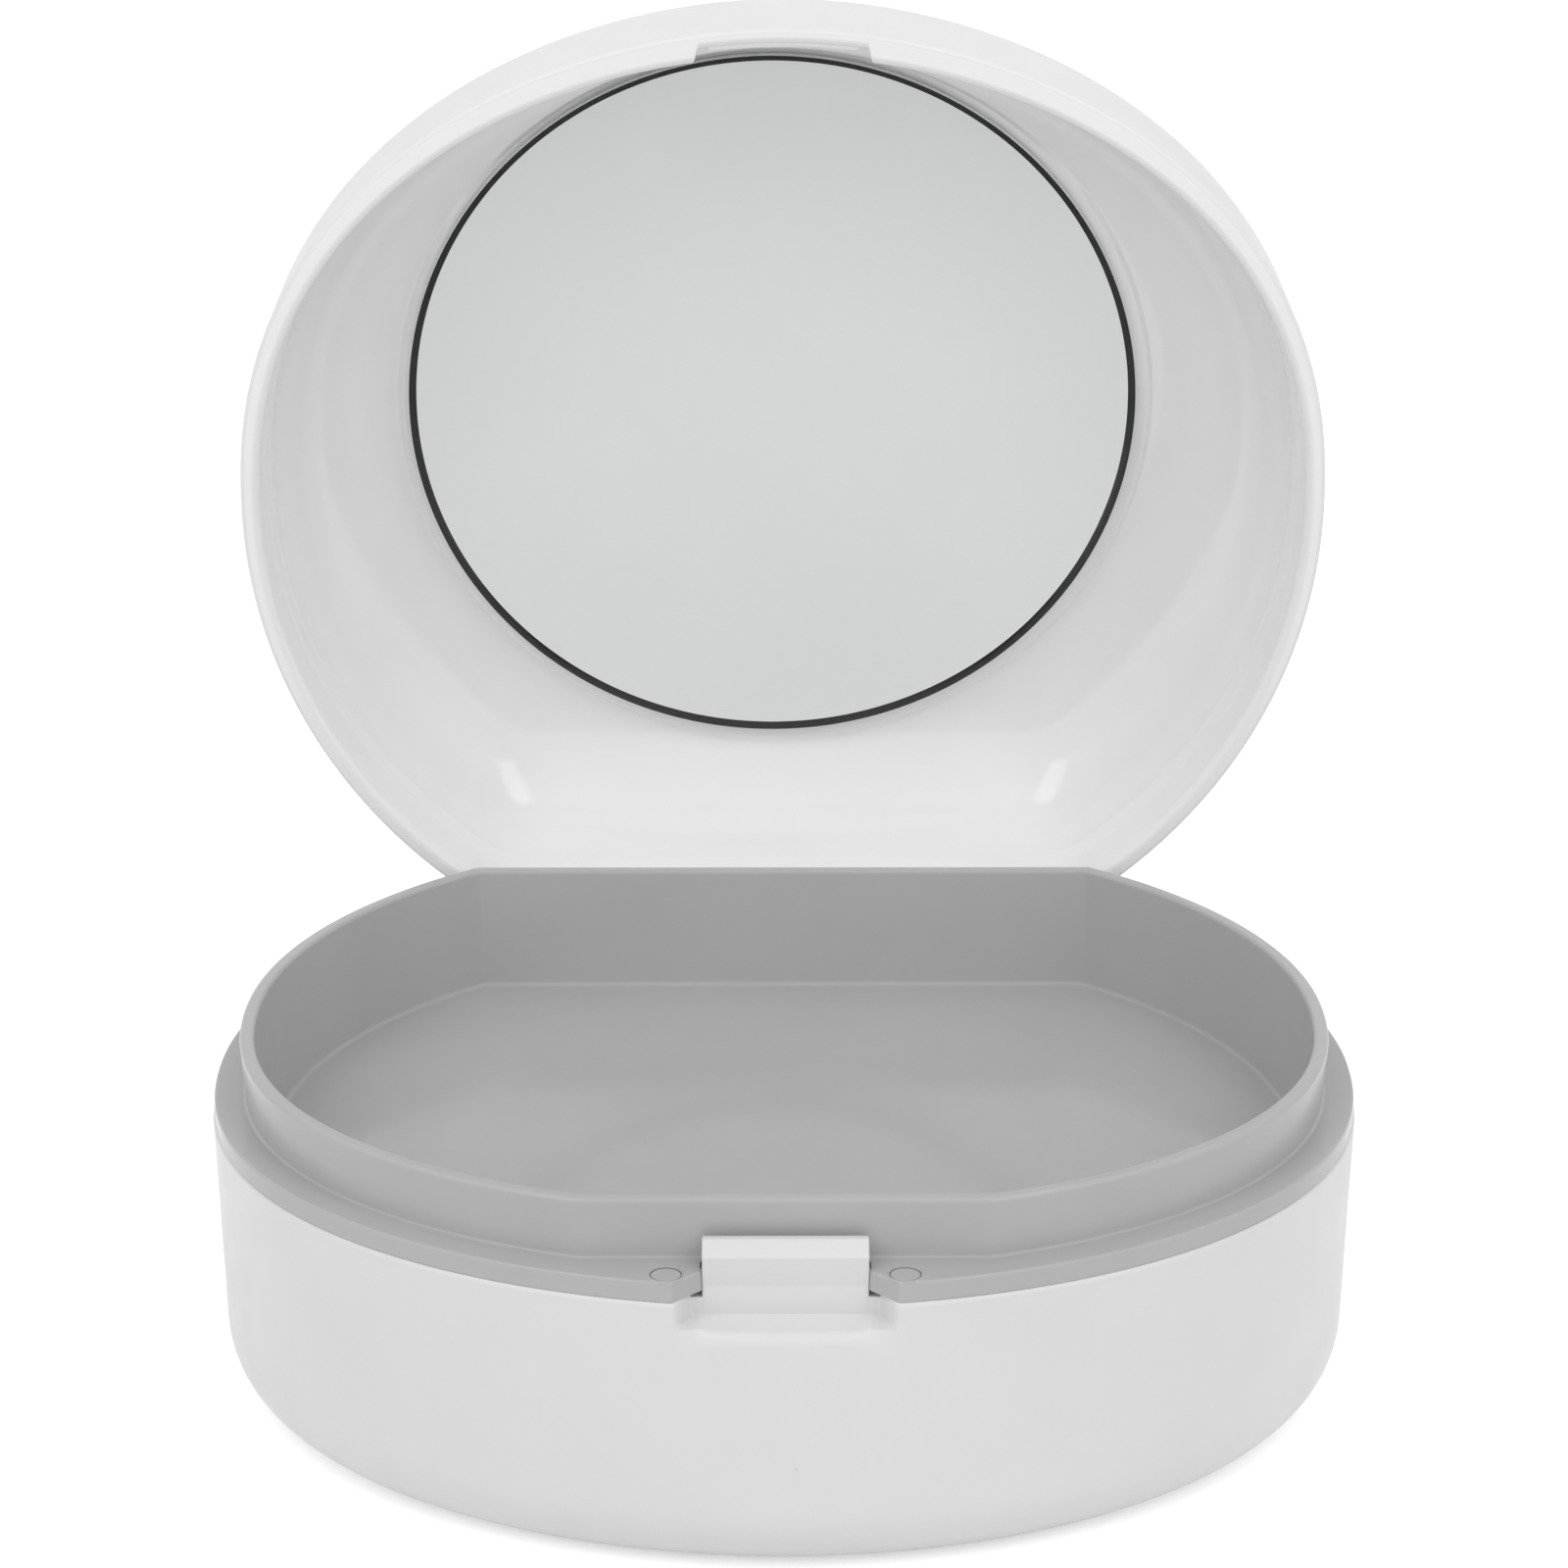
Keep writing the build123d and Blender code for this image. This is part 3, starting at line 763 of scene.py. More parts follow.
    def mark(self, side: int) -> Solid:
        """One round moulding mark: a flat spot with a fine raised ring and a groove painted dark as shade,
        on the flange.
        """
        circle = ring_of(self.mark_columns)
        centre = np.array([side * self.mark_x, self.mark_y])
        top, r = SIZES.flange_top, self.mark_radius
        skin = Skin()
        sunk = top - self.mark_sunk
        skin.row(centre + circle * (r + self.mark_profile[0][0]), sunk)
        for out, rise in self.mark_profile:
            skin.row(centre + circle * (r + out), top + rise)
        return skin.solid((centre[0], centre[1], sunk), (centre[0], centre[1], top + 0.01 * MM))


@dataclass
class SnapTab:
    """White tongue with a bead, whose foot runs down in front of the scoop's facet."""

    face: float = -39.5 * MM
    thickness: float = 1.5 * MM
    half_width: float = 6.1 * MM
    top: float = 26.5 * MM
    bead_level: float = 25.6 * MM
    bead: float = 0.6 * MM
    bead_foot: float = 2.5 * MM
    tip_set_back: float = 0.7 * MM
    edge: float = 0.15 * MM
    apron: float = 0.02 * MM
    apron_low: float = 20.7 * MM
    foot_draw: float = 0.3 * MM

    def surface(self) -> Solid:
        """Builds the tab from its profile, seen from the side."""
        front, back = self.face - self.apron, self.face + self.thickness
        corners = np.array([
            (front, self.apron_low), (front, self.bead_level - self.bead_foot),
            (self.face - self.bead, self.bead_level), (self.face + self.tip_set_back, self.top),
            (back, self.top), (back, SIZES.shell_top + 0.1 * MM), (back - self.foot_draw, self.apron_low)])
        radii = np.array([0.2, 1.0, 0.17, 0.2, 0.3, 0.2, 0.2]) * MM
        return bar(rounded_loop(corners, radii), -self.half_width, self.half_width, self.edge)


@dataclass
class LidShell:
    """White bowl-shaped lid: rounded crown, rim with its pocket and slots, rebate, bowl and seat."""

    gap: float = 0.1 * MM
    height: float = 19.4 * MM
    draft: float = 0.3 * MM
    crown_radius: float = 12.0 * MM
    roof: float = 2.1 * MM
    rim_wall: float = 1.6 * MM
    front_extra: float = 0.8 * MM
    outer_edge: float = 0.36 * MM
    inner_edge: float = 0.7 * MM
    rebate_depth: float = 5.2 * MM
    rebate_step: float = 0.45 * MM
    rebate_slope: float = 1.7 * MM
    pocket_half: float = 7.3 * MM
    pocket_depth: float = 1.15 * MM
    pocket_height: float = 4.2 * MM
    pocket_corner: float = 0.5 * MM
    catch_half: float = 6.1 * MM
    catch_low: float = 0.8 * MM
    catch_high: float = 1.15 * MM
    catch_shift: float = 0.8 * MM
    slot_x: float = 12.0 * MM
    slot_half: float = 1.5 * MM
    slot_top: float = 27.85 * MM
    slot_reach: float = 35.4 * MM
    knuckle: float = 2.2 * MM
    barrel: float = 1.5 * MM
    hinge_y: float = 37.3 * MM
    hinge_z: float = 26.0 * MM
    seat_radius: float = 33.2 * MM
    seat_x: float = -0.6 * MM
    seat_y: float = -2.95 * MM
    seat_slope: float = 0.5 * MM
    seat_rise: float = 0.4 * MM
    crown_shares: tuple[float, ...] = (0.35, 0.7, 0.99)
    wall_rises: tuple[float, ...] = tuple(
        rise * MM for rise in (6.0, 5.0, 4.0, 3.4, 2.9, 2.4, 2.0, 1.6, 1.3, 1.0, 0.7, 0.45))
    knuckle_edge: float = 0.12 * MM

    @property
    def rim(self) -> float:
        """Level of the closed lid's rim."""
        return SIZES.flange_top + self.gap

    @property
    def ceiling(self) -> float:
        """Level of the closed lid's inner ceiling."""
        return self.rim + self.height - self.roof

    @property
    def seat_face(self) -> float:
        """Level of the closed lid's mirror seat."""
        return self.ceiling - self.seat_rise

    def surface(self) -> tuple[Solid, Array]:
        """Builds the closed lid from its outer pole, round the rim, to the seat's pole.

        Returns:
            The surface, and one for each face on the satin outside, nought elsewhere.
        """
        plan = SIZES.shell_plan()
        pocket_ends = [self.catch_half, self.pocket_half - 0.3 * MM, self.pocket_half]
        slot_ends = [self.slot_x - self.slot_half, self.slot_x + self.slot_half]
        columns = Columns.of(plan, case_headings(pocket_ends, slot_ends))
        skin = Skin()
        top = self.rim + self.height
        start = top - self.crown_radius

        def outer(inset: float, level: float) -> None:
            self.add(skin, columns.meet(SIZES.shell_plan(inset)), level)

        def inner(inset: float, level: float, shift: float = 0.0) -> None:
            flat = columns.meet(SIZES.shell_plan(inset, self.front_extra))
            self.add(skin, self.pocketed(flat, level, shift), level)

        for share in self.crown_shares:
            self.add(skin, columns.meet(SIZES.shell_plan(self.draft + self.crown_radius)) * share, top)
        for cosine, sine in reversed(quarter(21)):
            outer(self.draft + self.crown_radius * (1 - cosine), start + self.crown_radius * sine)
        for rise in self.wall_rises:
            outer(self.draft * rise / (start - self.rim), self.rim + rise)
        r = self.outer_edge
        for cosine, sine in quarter(5):
            outer(r * (1 - cosine), self.rim + r * (1 - sine))
        outside = len(skin.rows)
        outer(r + 0.1 * MM, self.rim)
        self.inner_rows(inner)
        self.bowl_rows(skin, columns, inner)
        lid = skin.solid((0, -1 * MM, top), (self.seat_x, self.seat_y, self.seat_face))
        whole = joined([lid] + self.knuckles())
        width = len(skin.rows[0])
        faces = np.zeros(len(whole.quads) + len(whole.triangles), int)
        faces[:(outside - 1) * width] = 1
        faces[len(whole.quads):len(whole.quads) + width] = 1
        return whole, faces

    def add(self, skin: Skin, flat: Array, level: float) -> None:
        """Adds a row with the rear slots cut up into it and the rear edge rounded about the hinge."""
        behind = flat[:, 1] > self.slot_reach
        beside, blend = np.abs(np.abs(flat[:, 0]) - self.slot_x), 0.04 * MM
        in_slot = behind * (1 - smooth_step(beside, self.slot_half - blend, self.slot_half + blend))
        raised = self.slot_top + 0.02 * (level - self.rim) if level < self.slot_top + 0.1 * MM else level
        height = level + in_slot * (max(raised, level) - level)
        y, z = flat[:, 1] - self.hinge_y, height - self.hinge_z
        far = np.maximum(np.hypot(y, z), TINY)
        round_off = (y > 0) & (z < 0) & (far > self.barrel)
        scale = np.where(round_off, self.barrel / far, 1.0)
        level_out = np.where(round_off, self.hinge_z + z * scale, height)
        skin.row(np.stack([flat[:, 0], self.hinge_y + y * scale], axis=1), level_out)

    def pocketed(self, flat: Array, level: float, shift: float) -> Array:
        """Moves the front of an inner row outwards into the tab's pocket, less at the catch ridge.

        Args:
            flat: X and Y of the row.
            level: its level.
            shift: share of the pocket's depth, from nought to one.

        Returns:
            The moved row.
        """
        x = np.abs(flat[:, 0])
        past_end = smooth_step(x, self.pocket_half - self.pocket_corner, self.pocket_half)
        depth = self.pocket_depth * shift * (1 - past_end)
        low, high = self.rim + self.catch_low, self.rim + self.catch_high
        if low <= level <= high:
            ridge = 1 - smooth_step(x, self.catch_half - 0.15 * MM, self.catch_half)
            depth = depth + ridge * (self.catch_shift - depth)
        return np.stack([flat[:, 0], flat[:, 1] - depth * (flat[:, 1] < 0)], axis=1)

    def inner_rows(self, inner: Callable[[float, float, float], None]) -> None:
        """Adds the rim's face, its inner edge, the rebate with the pocket, and the slope past it."""
        e, wall, rim = self.inner_edge, self.rim_wall, self.rim
        inner(wall - e - 0.03 * MM, rim, 1.0)
        for cosine, sine in quarter(5):
            inner(wall - e * (1 - sine), rim + e * (1 - cosine), 1.0)
        low, high = self.catch_low, self.catch_high
        for rise in (low - 0.02 * MM, low, low + 0.1 * MM, high - 0.1 * MM, high, high + 0.1 * MM):
            inner(wall, rim + rise, 1.0)
        roof = self.pocket_height
        for rise in (1.6 * MM, 2.4 * MM, 2.9 * MM, 3.4 * MM, 3.5 * MM, 3.6 * MM, roof - 0.25 * MM):
            inner(wall, rim + rise, 1.0)
        for rise, shift in ((-0.08, 0.95), (-0.01, 0.8), (0.0, 0.1), (0.04, 0.02), (0.12, 0.0)):
            inner(wall, rim + roof + rise * MM, shift)
        for share in np.linspace(0, 1, 11):
            ease = share * share * (3 - 2 * share)
            level = rim + self.rebate_depth + self.rebate_slope * (share - 0.15)
            inner(wall + self.rebate_step * ease, level, 0.0)

    def bowl_rows(self, skin: Skin, columns: Columns, inner: Callable[[float, float], None]) -> None:
        """Adds the bowl's wall, its rounded crown up to the seat's circle, and the seat.

        A column's path up the crown is sampled closely. Where its distance from the seat's centre
        falls to the seat's radius, the path ends, and the rows share out the way up to there.
        """
        base, radius = self.rim_wall + self.rebate_step, self.crown_radius - self.roof
        start = self.ceiling - radius
        inner(base, start - 0.5 * MM)
        inner(base, start - 0.2 * MM)
        turns = np.linspace(0, math.pi / 2, 61)
        past_crown = np.linspace(0, 16 * MM, 41)[1:]
        insets = np.concatenate([base + radius * (1 - np.cos(turns)), base + radius + past_crown])
        levels = np.concatenate([start + radius * np.sin(turns), np.full(len(past_crown), self.ceiling)])
        path = np.stack([columns.meet(SIZES.shell_plan(i, self.front_extra)) for i in insets])
        centre = np.array([self.seat_x, self.seat_y])
        away = np.linalg.norm(path - centre, axis=2)
        within = np.argmax(away <= self.seat_radius, axis=0)
        across = np.arange(path.shape[1])
        before, after = away[within - 1, across], away[within, across]
        stop = within - 1 + (before - self.seat_radius) / (before - after)
        for share in (0.0, 0.06, 0.13, 0.21, 0.29, 0.38, 0.47, 0.56, 0.65, 0.74, 0.83, 0.91, 0.97, 1.0):
            place = stop * share
            index = np.floor(place).astype(int)
            part = (place - index)[:, None]
            flat = path[index, across] * (1 - part) + path[index + 1, across] * part
            skin.row(flat, levels[index] * (1 - part[:, 0]) + levels[index + 1] * part[:, 0])
        edge = skin.rows[-1]
        out = unit(edge[:, :2] - centre)
        rise = self.seat_face - edge[:, 2]
        for share, fall in ((0.08, 0.03), (0.2, 0.13), (0.8, 0.87), (0.92, 0.97), (1.0, 1.0), (1.15, 1.0)):
            skin.row(centre + out * (self.seat_radius - self.seat_slope * share), edge[:, 2] + rise * fall)
        skin.row(centre + out * self.seat_radius * 0.6, self.seat_face)

    def knuckles(self) -> list[Solid]:
        """The four barrels beside the slots, about the hinge axis."""
        circle = np.array([self.hinge_y, self.hinge_z]) + self.barrel * ring_of(40)
        bars = []
        for side in (-1, 1):
            for way in (-1, 1):
                near = side * self.slot_x + way * self.slot_half
                ends = sorted((near, near + way * self.knuckle))
                bars.append(bar(circle, ends[0], ends[1], self.knuckle_edge))
        return bars


@dataclass
class Mirror:
    """Round glass glued slightly off the seat's centre: its face painted flat pale grey in place of a
    reflection, its polished edge band painted dark as shade and dark reflection, and a painted highlight
    line.
    """

    radius: float = 31.9 * MM
    thickness: float = 1.1 * MM
    pad: float = 0.25 * MM
    band: float = 0.75 * MM
    band_shift: float = 0.36 * MM
    bevel_drop: float = 0.22 * MM
    line: float = 0.1 * MM
    line_least: float = 0.015 * MM
    columns: int = 360
    centre_x: float = -0.9 * MM
    centre_y: float = -3.3 * MM

    def surface(self, lid: LidShell) -> tuple[Solid, Array]:
        """Builds the closed lid's mirror.

        Args:
            lid: the lid whose seat it lies on.

        Returns:
            The surface, and each face's finish: the face's painted flat grey, the edge band's painted dark
            shade and reflection, or the line's painted highlight.
        """
        back = lid.seat_face - self.pad
        face = back - self.thickness
        centre = np.array([self.centre_x, self.centre_y])
        circle = ring_of(self.columns)
        skin = Skin()
        # The edge band is painted dark as shade in the gap and a dark reflection in the bevel. band_shift
        # moves the face's circle to the front, so the painted dark band is widest on the hinge side.
        radius, band, drop = self.radius, self.band, self.bevel_drop
        # The line is a painted highlight at the inner edge of the band, widest on the hinge side.
        line = self.line_least + self.line * np.clip(circle[:, 1:], 0, 1)
        edge = face + drop
        rows = [(radius - 2 * MM, back), (radius - 0.25 * MM, back), (radius - 0.08 * MM, back - 0.05 * MM),
                (radius, back - 0.2 * MM), (radius, edge + 0.12 * MM), (radius - 0.05 * MM, edge),
                (radius - 0.14 * MM, edge - 0.05 * MM), (radius - band + line, face + 0.012 * MM),
                (radius - band, face), (radius - band - 0.05 * MM, face), (radius * 0.6, face)]
        for reach, level in rows:
            inside = np.clip((radius - reach) / band, 0, 1) * (level <= edge)
            shift = np.array([0.0, -self.band_shift]) * inside
            skin.row(centre + circle * reach + shift, level)
        glass = skin.solid((centre[0], centre[1], back), (centre[0], centre[1], face))
        # Faces between rows 5 and 7 take the painted dark band, and those between rows 7 and 8 the painted
        # highlight line.
        part = np.zeros(len(rows) - 1, int)
        part[5:7], part[7] = 1, 2
        return glass, np.concatenate([np.repeat(part, self.columns), np.zeros(len(glass.triangles), int)])


class Signal:
    """Output of a shader node. Arithmetic on it adds Math nodes."""

    def __init__(self, graph: "Graph", socket: bpy.types.NodeSocket) -> None:
        """Keeps the socket and the graph that it belongs to."""
        self.graph = graph
        self.socket = socket

    def __add__(self, other: "Signal | float") -> "Signal":
        """Sum."""
        return self.graph.math("ADD", self, other)

    def __radd__(self, other: float) -> "Signal":
        """Sum with a number first."""
        return self.graph.math("ADD", other, self)

    def __rsub__(self, other: float) -> "Signal":
        """Difference from a number."""
        return self.graph.math("SUBTRACT", other, self)

    def __mul__(self, other: "Signal | float") -> "Signal":
        """Product."""
        return self.graph.math("MULTIPLY", self, other)

    def __rmul__(self, other: float) -> "Signal":
        """Product with a number first."""
        return self.graph.math("MULTIPLY", other, self)

    def between(self, low: float, high: float, to_low: float = 0.0, to_high: float = 1.0) -> "Signal":
        """Eased and clamped step from one value at low to another at high."""
        span = {"From Min": low, "From Max": high, "To Min": to_low, "To Max": to_high, "Value": self}
        return self.graph.add("ShaderNodeMapRange", "Result", {"interpolation_type": "SMOOTHSTEP"}, span)


class Graph:
    """Node graph of a material or a world."""

    def __init__(self, tree: bpy.types.NodeTree) -> None:
        """Empties the node tree and keeps it."""
        tree.nodes.clear()
        self.tree = tree

    def add(self, kind: str, output: str | int = 0, settings: dict | None = None,
            inputs: dict | None = None) -> Signal:
        """Adds a node.

        Args:
            kind: the node's type.
            output: name or index of the output that is wanted.
            settings: the node's own settings by name.
            inputs: for each input, by name or index, a signal to link or a value to set.

        Returns:
            The output.
        """
        node = self.tree.nodes.new(kind)
        for name, value in (settings or {}).items():
            setattr(node, name, value)
        for name, value in (inputs or {}).items():
            if isinstance(value, Signal):
                self.tree.links.new(value.socket, node.inputs[name])
            else:
                node.inputs[name].default_value = value
        return Signal(self, node.outputs[output] if node.outputs else None)

    def math(self, operation: str, first: Signal | float, second: Signal | float) -> Signal:
        """Arithmetic on two signals or numbers."""
        return self.add("ShaderNodeMath", 0, {"operation": operation}, {0: first, 1: second})

    def colours(self, share: Signal, low: Signal | tuple, high: Signal | tuple) -> Signal:
        """Colour between two, by a signal from nought to one."""
        return self.add("ShaderNodeMix", 2, {"data_type": "RGBA"}, {0: share, 6: low, 7: high})

    def noise(self, place: Signal, scale: float, detail: float = 3.0, roughness: float = 0.55) -> Signal:
        """Noise from nought to one, with the scale in cycles per metre."""
        return self.add("ShaderNodeTexNoise", 0, {},
                        {"Vector": place, "Scale": scale, "Detail": detail, "Roughness": roughness})


NOISE_SPAN = (0.3, 0.7)
SPECK_SIZE = (0.06, 0.03)
SPECK_RARITY = (0.62, 0.68)
DUST_SHADE = 0.55
DUST_ROUGHNESS = 0.3


@dataclass(frozen=True)
class Finish:
    """How a moulded or polished surface looks."""

    name: str
    colour: tuple[float, float, float]
    roughness: float
    roughness_swing: float = 0.05
    mottle: float = 0.02
    mottle_scale: float = 60.0
    haze_share: float = 3.7
    grain_scale: float = 2200.0
    grain_depth: float = 0.0
    metallic: float = 0.0
    specular: float = 0.5
    dust: float = 0.0
    dust_scale: float = 260.0
    rarity_share: float = 0.31
    polished_below: float = 0.0
    polished_roughness: float = 0.1
    polished_swing: float = 0.03
    polished_blend: float = 0.4 * MM

    def shade(self, share: float) -> tuple[float, float, float, float]:
        """The colour times a share, at most white, with full alpha."""
        red, green, blue = (min(1.0, part * share) for part in self.colour)
        return red, green, blue, 1.0

    def material(self) -> bpy.types.Material:
        """Makes the material.

        The colour swings by the mottle about its own value, the roughness by its swing, fine
        specks of dust darken and roughen it, and a fine grain bends the normal. Below the polished
        level the roughness eases to the polished one.
        """
        material = bpy.data.materials.new(self.name)
        material.use_nodes = True
        graph = Graph(material.node_tree)
        place = graph.add("ShaderNodeTexCoord", "Object")
        cloud = graph.noise(place, self.mottle_scale)
        haze = graph.noise(place, self.mottle_scale * self.haze_share, 4.0)
        speck = graph.add("ShaderNodeTexVoronoi", "Distance", {"feature": "F1"},
                          {"Vector": place, "Scale": self.dust_scale, "Randomness": 1.0})
        rarity = graph.noise(place, self.dust_scale * self.rarity_share, 1.0)
        dust = speck.between(*SPECK_SIZE) * rarity.between(*SPECK_RARITY) * self.dust
        low, high = self.shade(1 - self.mottle), self.shade(1 + self.mottle)
        clean = graph.colours(cloud.between(*NOISE_SPAN), low, high)
        colour = graph.colours(dust, clean, self.shade(DUST_SHADE))
        swing = haze.between(*NOISE_SPAN, self.roughness - self.roughness_swing,
                             self.roughness + self.roughness_swing)
        rough = swing + DUST_ROUGHNESS * dust
        if self.polished_below > 0:
            level = graph.add("ShaderNodeSeparateXYZ", "Z", {}, {"Vector": place})
            dull = level.between(self.polished_below, self.polished_below + self.polished_blend)
            polished = self.polished_roughness + self.polished_swing * haze
            rough = rough * dull + polished * (1.0 - dull)
        height = graph.noise(place, self.grain_scale, 2.0) * self.grain_depth
        bump = {"Strength": 1.0, "Distance": 1.0, "Height": height}
        normal = graph.add("ShaderNodeBump", "Normal", {}, bump)
        shader = graph.add("ShaderNodeBsdfPrincipled", 0, {}, {
            "Base Color": colour, "Roughness": rough, "Normal": normal, "Metallic": self.metallic,
            "Specular IOR Level": self.specular})
        graph.add("ShaderNodeOutputMaterial", 0, {}, {"Surface": shader})
        return material


SHELL_FINISH = Finish("satin_white", (0.712, 0.712, 0.712), 0.4, mottle=0.012, grain_depth=2.0e-6, dust=0.2)
# The inside's white is lighter than the satin outside's white of the same moulding: painted light that
# brightens the bowl.
LID_FINISH = Finish("glossy_white", (0.88, 0.88, 0.88), 0.13, roughness_swing=0.03, mottle=0.01,
                    grain_depth=5.0e-7, dust=0.4)
OUTSIDE_FINISH = Finish("lid_outside", (0.8, 0.8, 0.8), 0.38, mottle=0.012, grain_depth=2.0e-6, dust=0.3)
TRAY_FINISH = Finish("glossy_grey", (0.455, 0.455, 0.455), 0.22, roughness_swing=0.03, grain_depth=1.0e-6,
                     dust=0.5, specular=0.25, polished_below=18.9 * MM)
# Painted shade: the dark colour of the marks' grooves.
GROOVE_SHADE_FINISH = Finish("mark_groove_painted_shade", (0.16, 0.16, 0.16), 0.5, mottle=0.1)
# The face is painted a flat pale grey in place of the mirror's reflection.
GLASS_FINISH = Finish("mirror_face", (0.83, 0.85, 0.84), 0.5, mottle=0.006, dust=0.05, specular=0.2)
# Painted shade and dark reflection: the dark colour of the mirror's edge band.
EDGE_SHADE_FINISH = Finish("mirror_edge_painted_shade", (0.012, 0.012, 0.013), 0.2, mottle=0.1)
# Painted highlight: the bright line at the inner edge of the mirror's band.
GLINT_FINISH = Finish("painted_glint_line", (0.9, 0.9, 0.9), 0.12)
PAD_FINISH = Finish("foam_pad", (0.8, 0.8, 0.76), 0.85, mottle=0.04, grain_depth=2.0e-5)
PIN_FINISH = Finish("drawn_steel", (0.6, 0.6, 0.61), 0.32, mottle=0.04, metallic=1.0, grain_depth=1.0e-6)


@dataclass
class RetainerCase:
    """The whole case: builds each piece in place of its solid."""

    base: BaseShell = field(default_factory=BaseShell)
    tray: InnerTray = field(default_factory=InnerTray)
    tab: SnapTab = field(default_factory=SnapTab)
    lid: LidShell = field(default_factory=LidShell)
    mirror: Mirror = field(default_factory=Mirror)

    def build(self) -> None:
        """Adds every piece. The lid's pieces are turned open from the hinge's closed end to rest."""
        hinge = next(joint for joint in frame["joints"] if joint["name"] == "lid_hinge")
        opening = math.radians(-hinge["range_deg"][0])
        axis = (hinge["pos_m"][1], hinge["pos_m"][2])
        white = [SHELL_FINISH.material()]
        add_piece("case_base", self.base.surface(), Body.BASE, "base_shell", white)
        bowl, groove_shade_faces = self.tray.surface()
        add_piece("case_tray", bowl, Body.BASE, "inner_tray",
                  [TRAY_FINISH.material(), GROOVE_SHADE_FINISH.material()], groove_shade_faces)
        add_piece("case_tab", self.tab.surface(), Body.TAB, "snap_tab", white)
        cover, outside = self.lid.surface()
        add_piece("case_lid", cover.turned(-opening, axis), Body.LID, "lid_shell",
                  [LID_FINISH.material(), OUTSIDE_FINISH.material()], outside)
        glass, bands = self.mirror.surface(self.lid)
        add_piece("case_mirror", glass.turned(-opening, axis), Body.LID, "mirror",
                  [GLASS_FINISH.material(), EDGE_SHADE_FINISH.material(), GLINT_FINISH.material()], bands)
        for node, slot, finish in (("mirror_pad", "adhesive_pad", PAD_FINISH),
                                   ("hinge_pins", "pin_steel", PIN_FINISH)):
            solid = frame["nodes"][node]
            solid.data.materials.clear()
            solid.data.materials.append(finish.material())
            LOG.info("%s: shown as packed", node)


WHITE = (1.0, 1.0, 1.0, 1.0)
SENSOR_MM = 36.0
PHOTO_WIDTH_PX = 1600


@dataclass(frozen=True)
class Lamp:
    """A rectangular studio lamp that points at the case."""

    name: str
    place: tuple[float, float, float]
    size: tuple[float, float]
    power: float
    aim: tuple[float, float, float] = (0.0, 0.0, 0.03)

    def build(self) -> None:
        """Adds the lamp, turned so that its -Z looks along the line to the aim."""
        light = bpy.data.lights.new(self.name, "AREA")
        light.shape = "RECTANGLE"
        light.size, light.size_y = self.size
        light.energy = self.power
        lamp = bpy.data.objects.new(self.name, light)
        bpy.context.scene.collection.objects.link(lamp)
        lamp.location = self.place
        way = np.array(self.aim) - np.array(self.place)
        across = math.atan2(way[0], -way[1])
        lamp.rotation_euler = (math.acos(-way[2] / np.linalg.norm(way)), 0.0, across + math.pi)


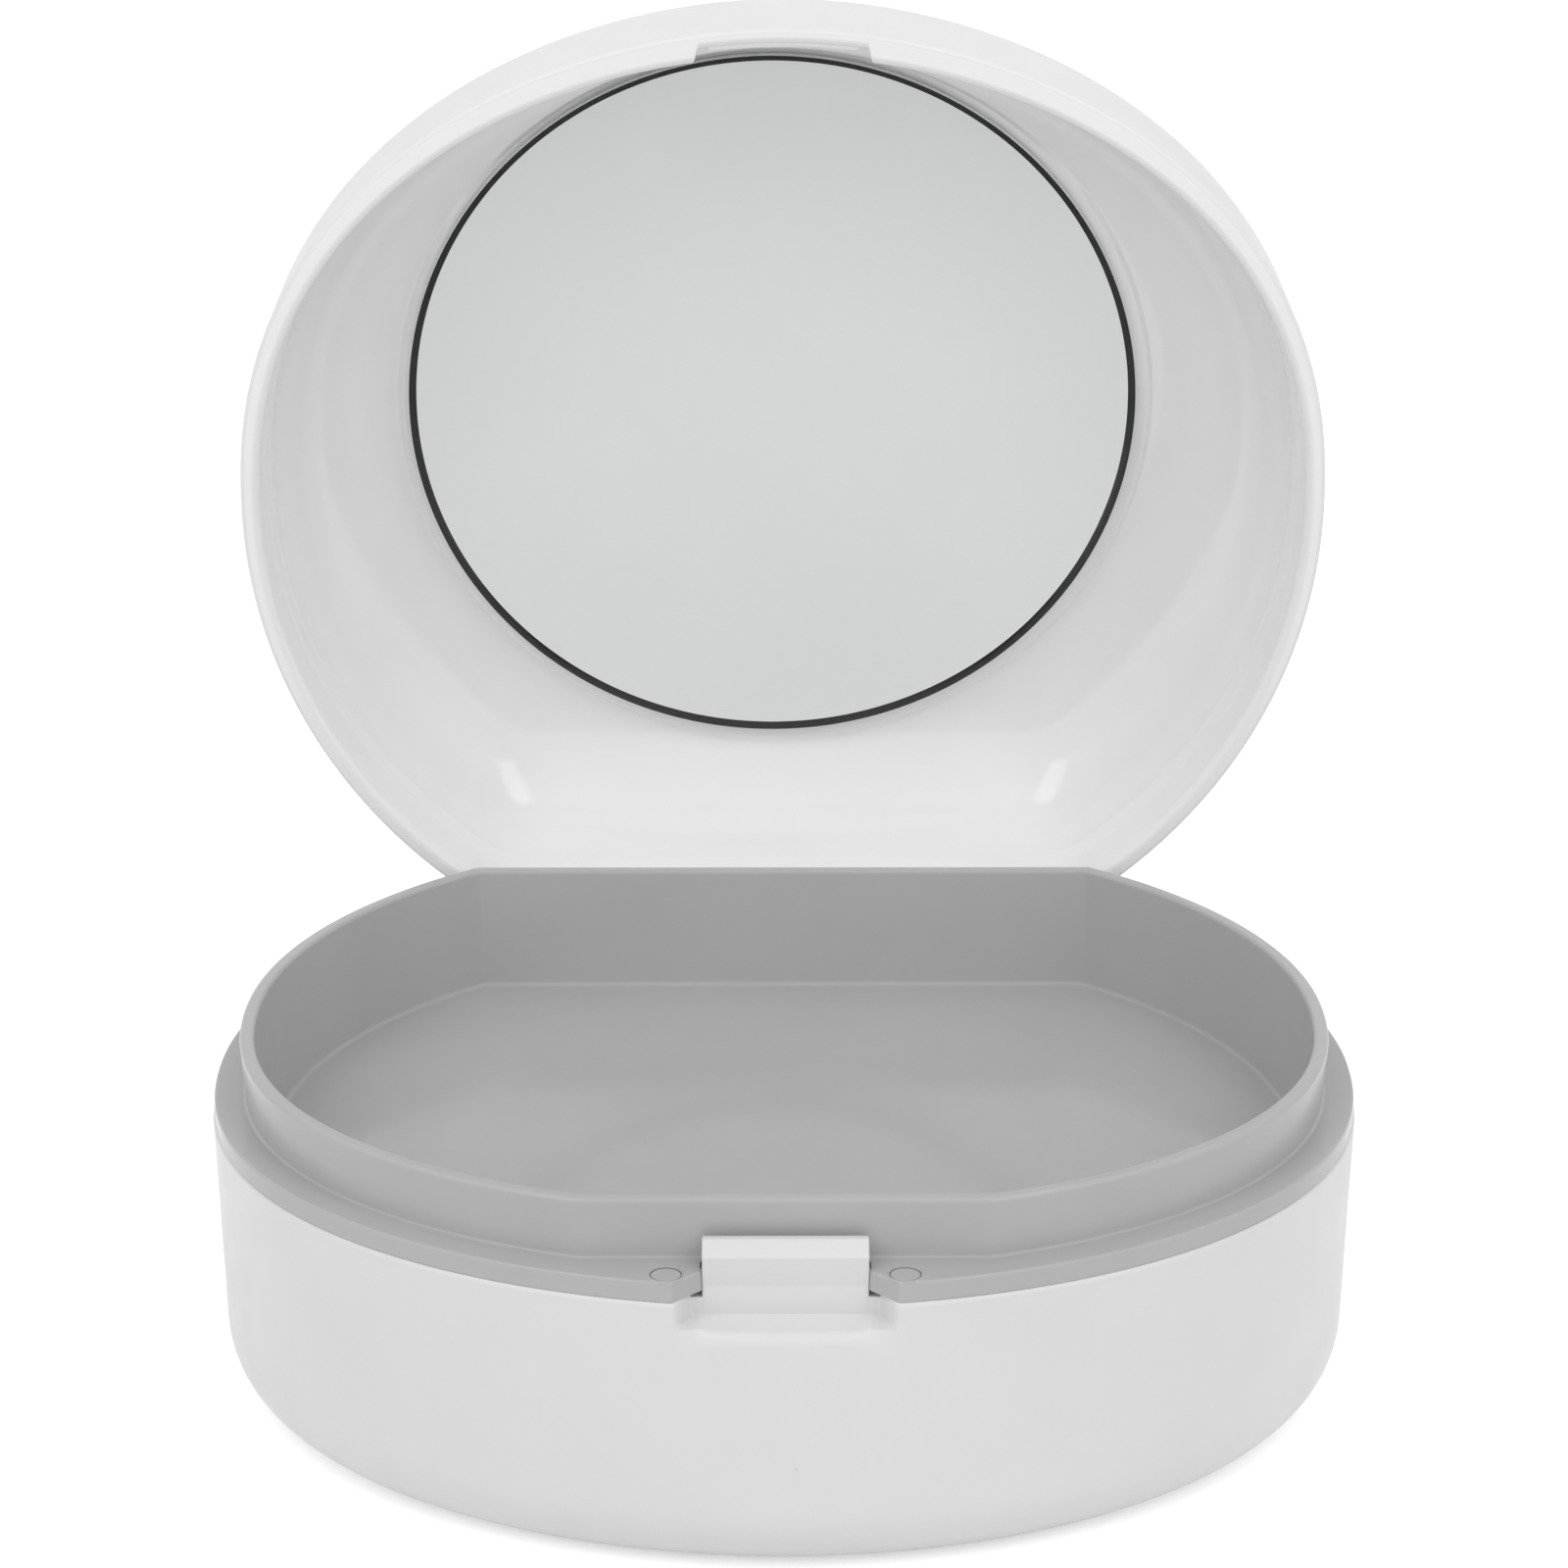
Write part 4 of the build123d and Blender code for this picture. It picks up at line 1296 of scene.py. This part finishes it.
@dataclass
class Studio:
    """Soft white studio: pale world, white floor that keeps a shadow, lamps and camera."""

    world_fill: float = 0.73
    floor_glow: float = 0.45
    floor_size: float = 6.0
    floor_tones: tuple[float, float] = (0.86, 0.88)
    floor_mottle: float = 3.0
    lamps: tuple[Lamp, ...] = (
        Lamp("key_left", (-0.48, -0.5, 0.72), (0.35, 0.8), 1.8),
        Lamp("key_right", (0.48, -0.5, 0.72), (0.35, 0.8), 1.8),
        Lamp("front", (0.0, -1.1, 0.45), (1.1, 0.6), 0.3),
    )
    camera_back: float = 333.1 * MM
    camera_up: float = 160.44 * MM
    camera_pitch: float = 0.3245
    camera_yaw: float = 0.0029
    camera_focal: float = 4509.1 / PHOTO_WIDTH_PX * SENSOR_MM

    def build(self) -> None:
        """Adds the world, the floor, the lamps and the camera."""
        self.build_world()
        self.build_floor()
        for lamp in self.lamps:
            lamp.build()
        self.build_camera()

    @staticmethod
    def seen(graph: Graph) -> Signal:
        """One for rays from the camera and for mirror and glass rays, nought for diffuse light."""
        path = graph.add("ShaderNodeLightPath", "Is Camera Ray")
        outputs = path.socket.node.outputs
        glossy = Signal(graph, outputs["Is Glossy Ray"])
        through = Signal(graph, outputs["Is Transmission Ray"])
        return graph.math("MAXIMUM", graph.math("MAXIMUM", path, glossy), through)

    def build_world(self) -> None:
        """White where it is seen, and a plain fill as light."""
        world = bpy.data.worlds.new("studio_white")
        world.use_nodes = True
        bpy.context.scene.world = world
        graph = Graph(world.node_tree)
        strength = self.seen(graph) * (1.0 - self.world_fill) + self.world_fill
        glow = graph.add("ShaderNodeBackground", 0, {}, {"Color": WHITE, "Strength": strength})
        graph.add("ShaderNodeOutputWorld", 0, {}, {"Surface": glow})

    def build_floor(self) -> None:
        """Wide floor: plain white as light, with a glow of its own where it is seen."""
        half = self.floor_size / 2
        mesh = bpy.data.meshes.new("studio_floor")
        mesh.from_pydata([(-half, -half, 0), (half, -half, 0), (half, half, 0), (-half, half, 0)], [],
                         [(0, 1, 2, 3)])
        material = bpy.data.materials.new("studio_floor")
        material.use_nodes = True
        graph = Graph(material.node_tree)
        place = graph.add("ShaderNodeTexCoord", "Object")
        low, high = ((grey, grey, grey, 1.0) for grey in self.floor_tones)
        colour = graph.colours(graph.noise(place, self.floor_mottle).between(*NOISE_SPAN), low, high)
        diffuse = graph.add("ShaderNodeBsdfDiffuse", 0, {}, {"Color": colour})
        glow = graph.add("ShaderNodeEmission", 0, {},
                         {"Color": WHITE, "Strength": self.seen(graph) * self.floor_glow})
        both = graph.add("ShaderNodeAddShader", 0, {}, {0: diffuse, 1: glow})
        graph.add("ShaderNodeOutputMaterial", 0, {}, {"Surface": both})
        mesh.materials.append(material)
        floor = bpy.data.objects.new("studio_floor", mesh)
        bpy.context.scene.collection.objects.link(floor)

    def build_camera(self) -> None:
        """Camera of the photograph, found by fitting the case's outlines."""
        camera = bpy.data.cameras.new("photo_camera")
        camera.sensor_width = SENSOR_MM
        camera.lens = self.camera_focal
        view = bpy.data.objects.new("photo_camera", camera)
        bpy.context.scene.collection.objects.link(view)
        view.location = (-self.camera_back * math.sin(self.camera_yaw),
                         -self.camera_back * math.cos(self.camera_yaw), self.camera_up)
        view.rotation_euler = (math.pi / 2 - self.camera_pitch, 0.0, -self.camera_yaw)
        bpy.context.scene.camera = view
        bpy.context.scene.view_settings.view_transform = "Standard"


def main() -> None:
    """Builds the case and the studio."""
    logging.basicConfig(level=logging.INFO, format="%(name)s: %(message)s")
    RetainerCase().build()
    Studio().build()


if __name__ == "__main__":
    main()
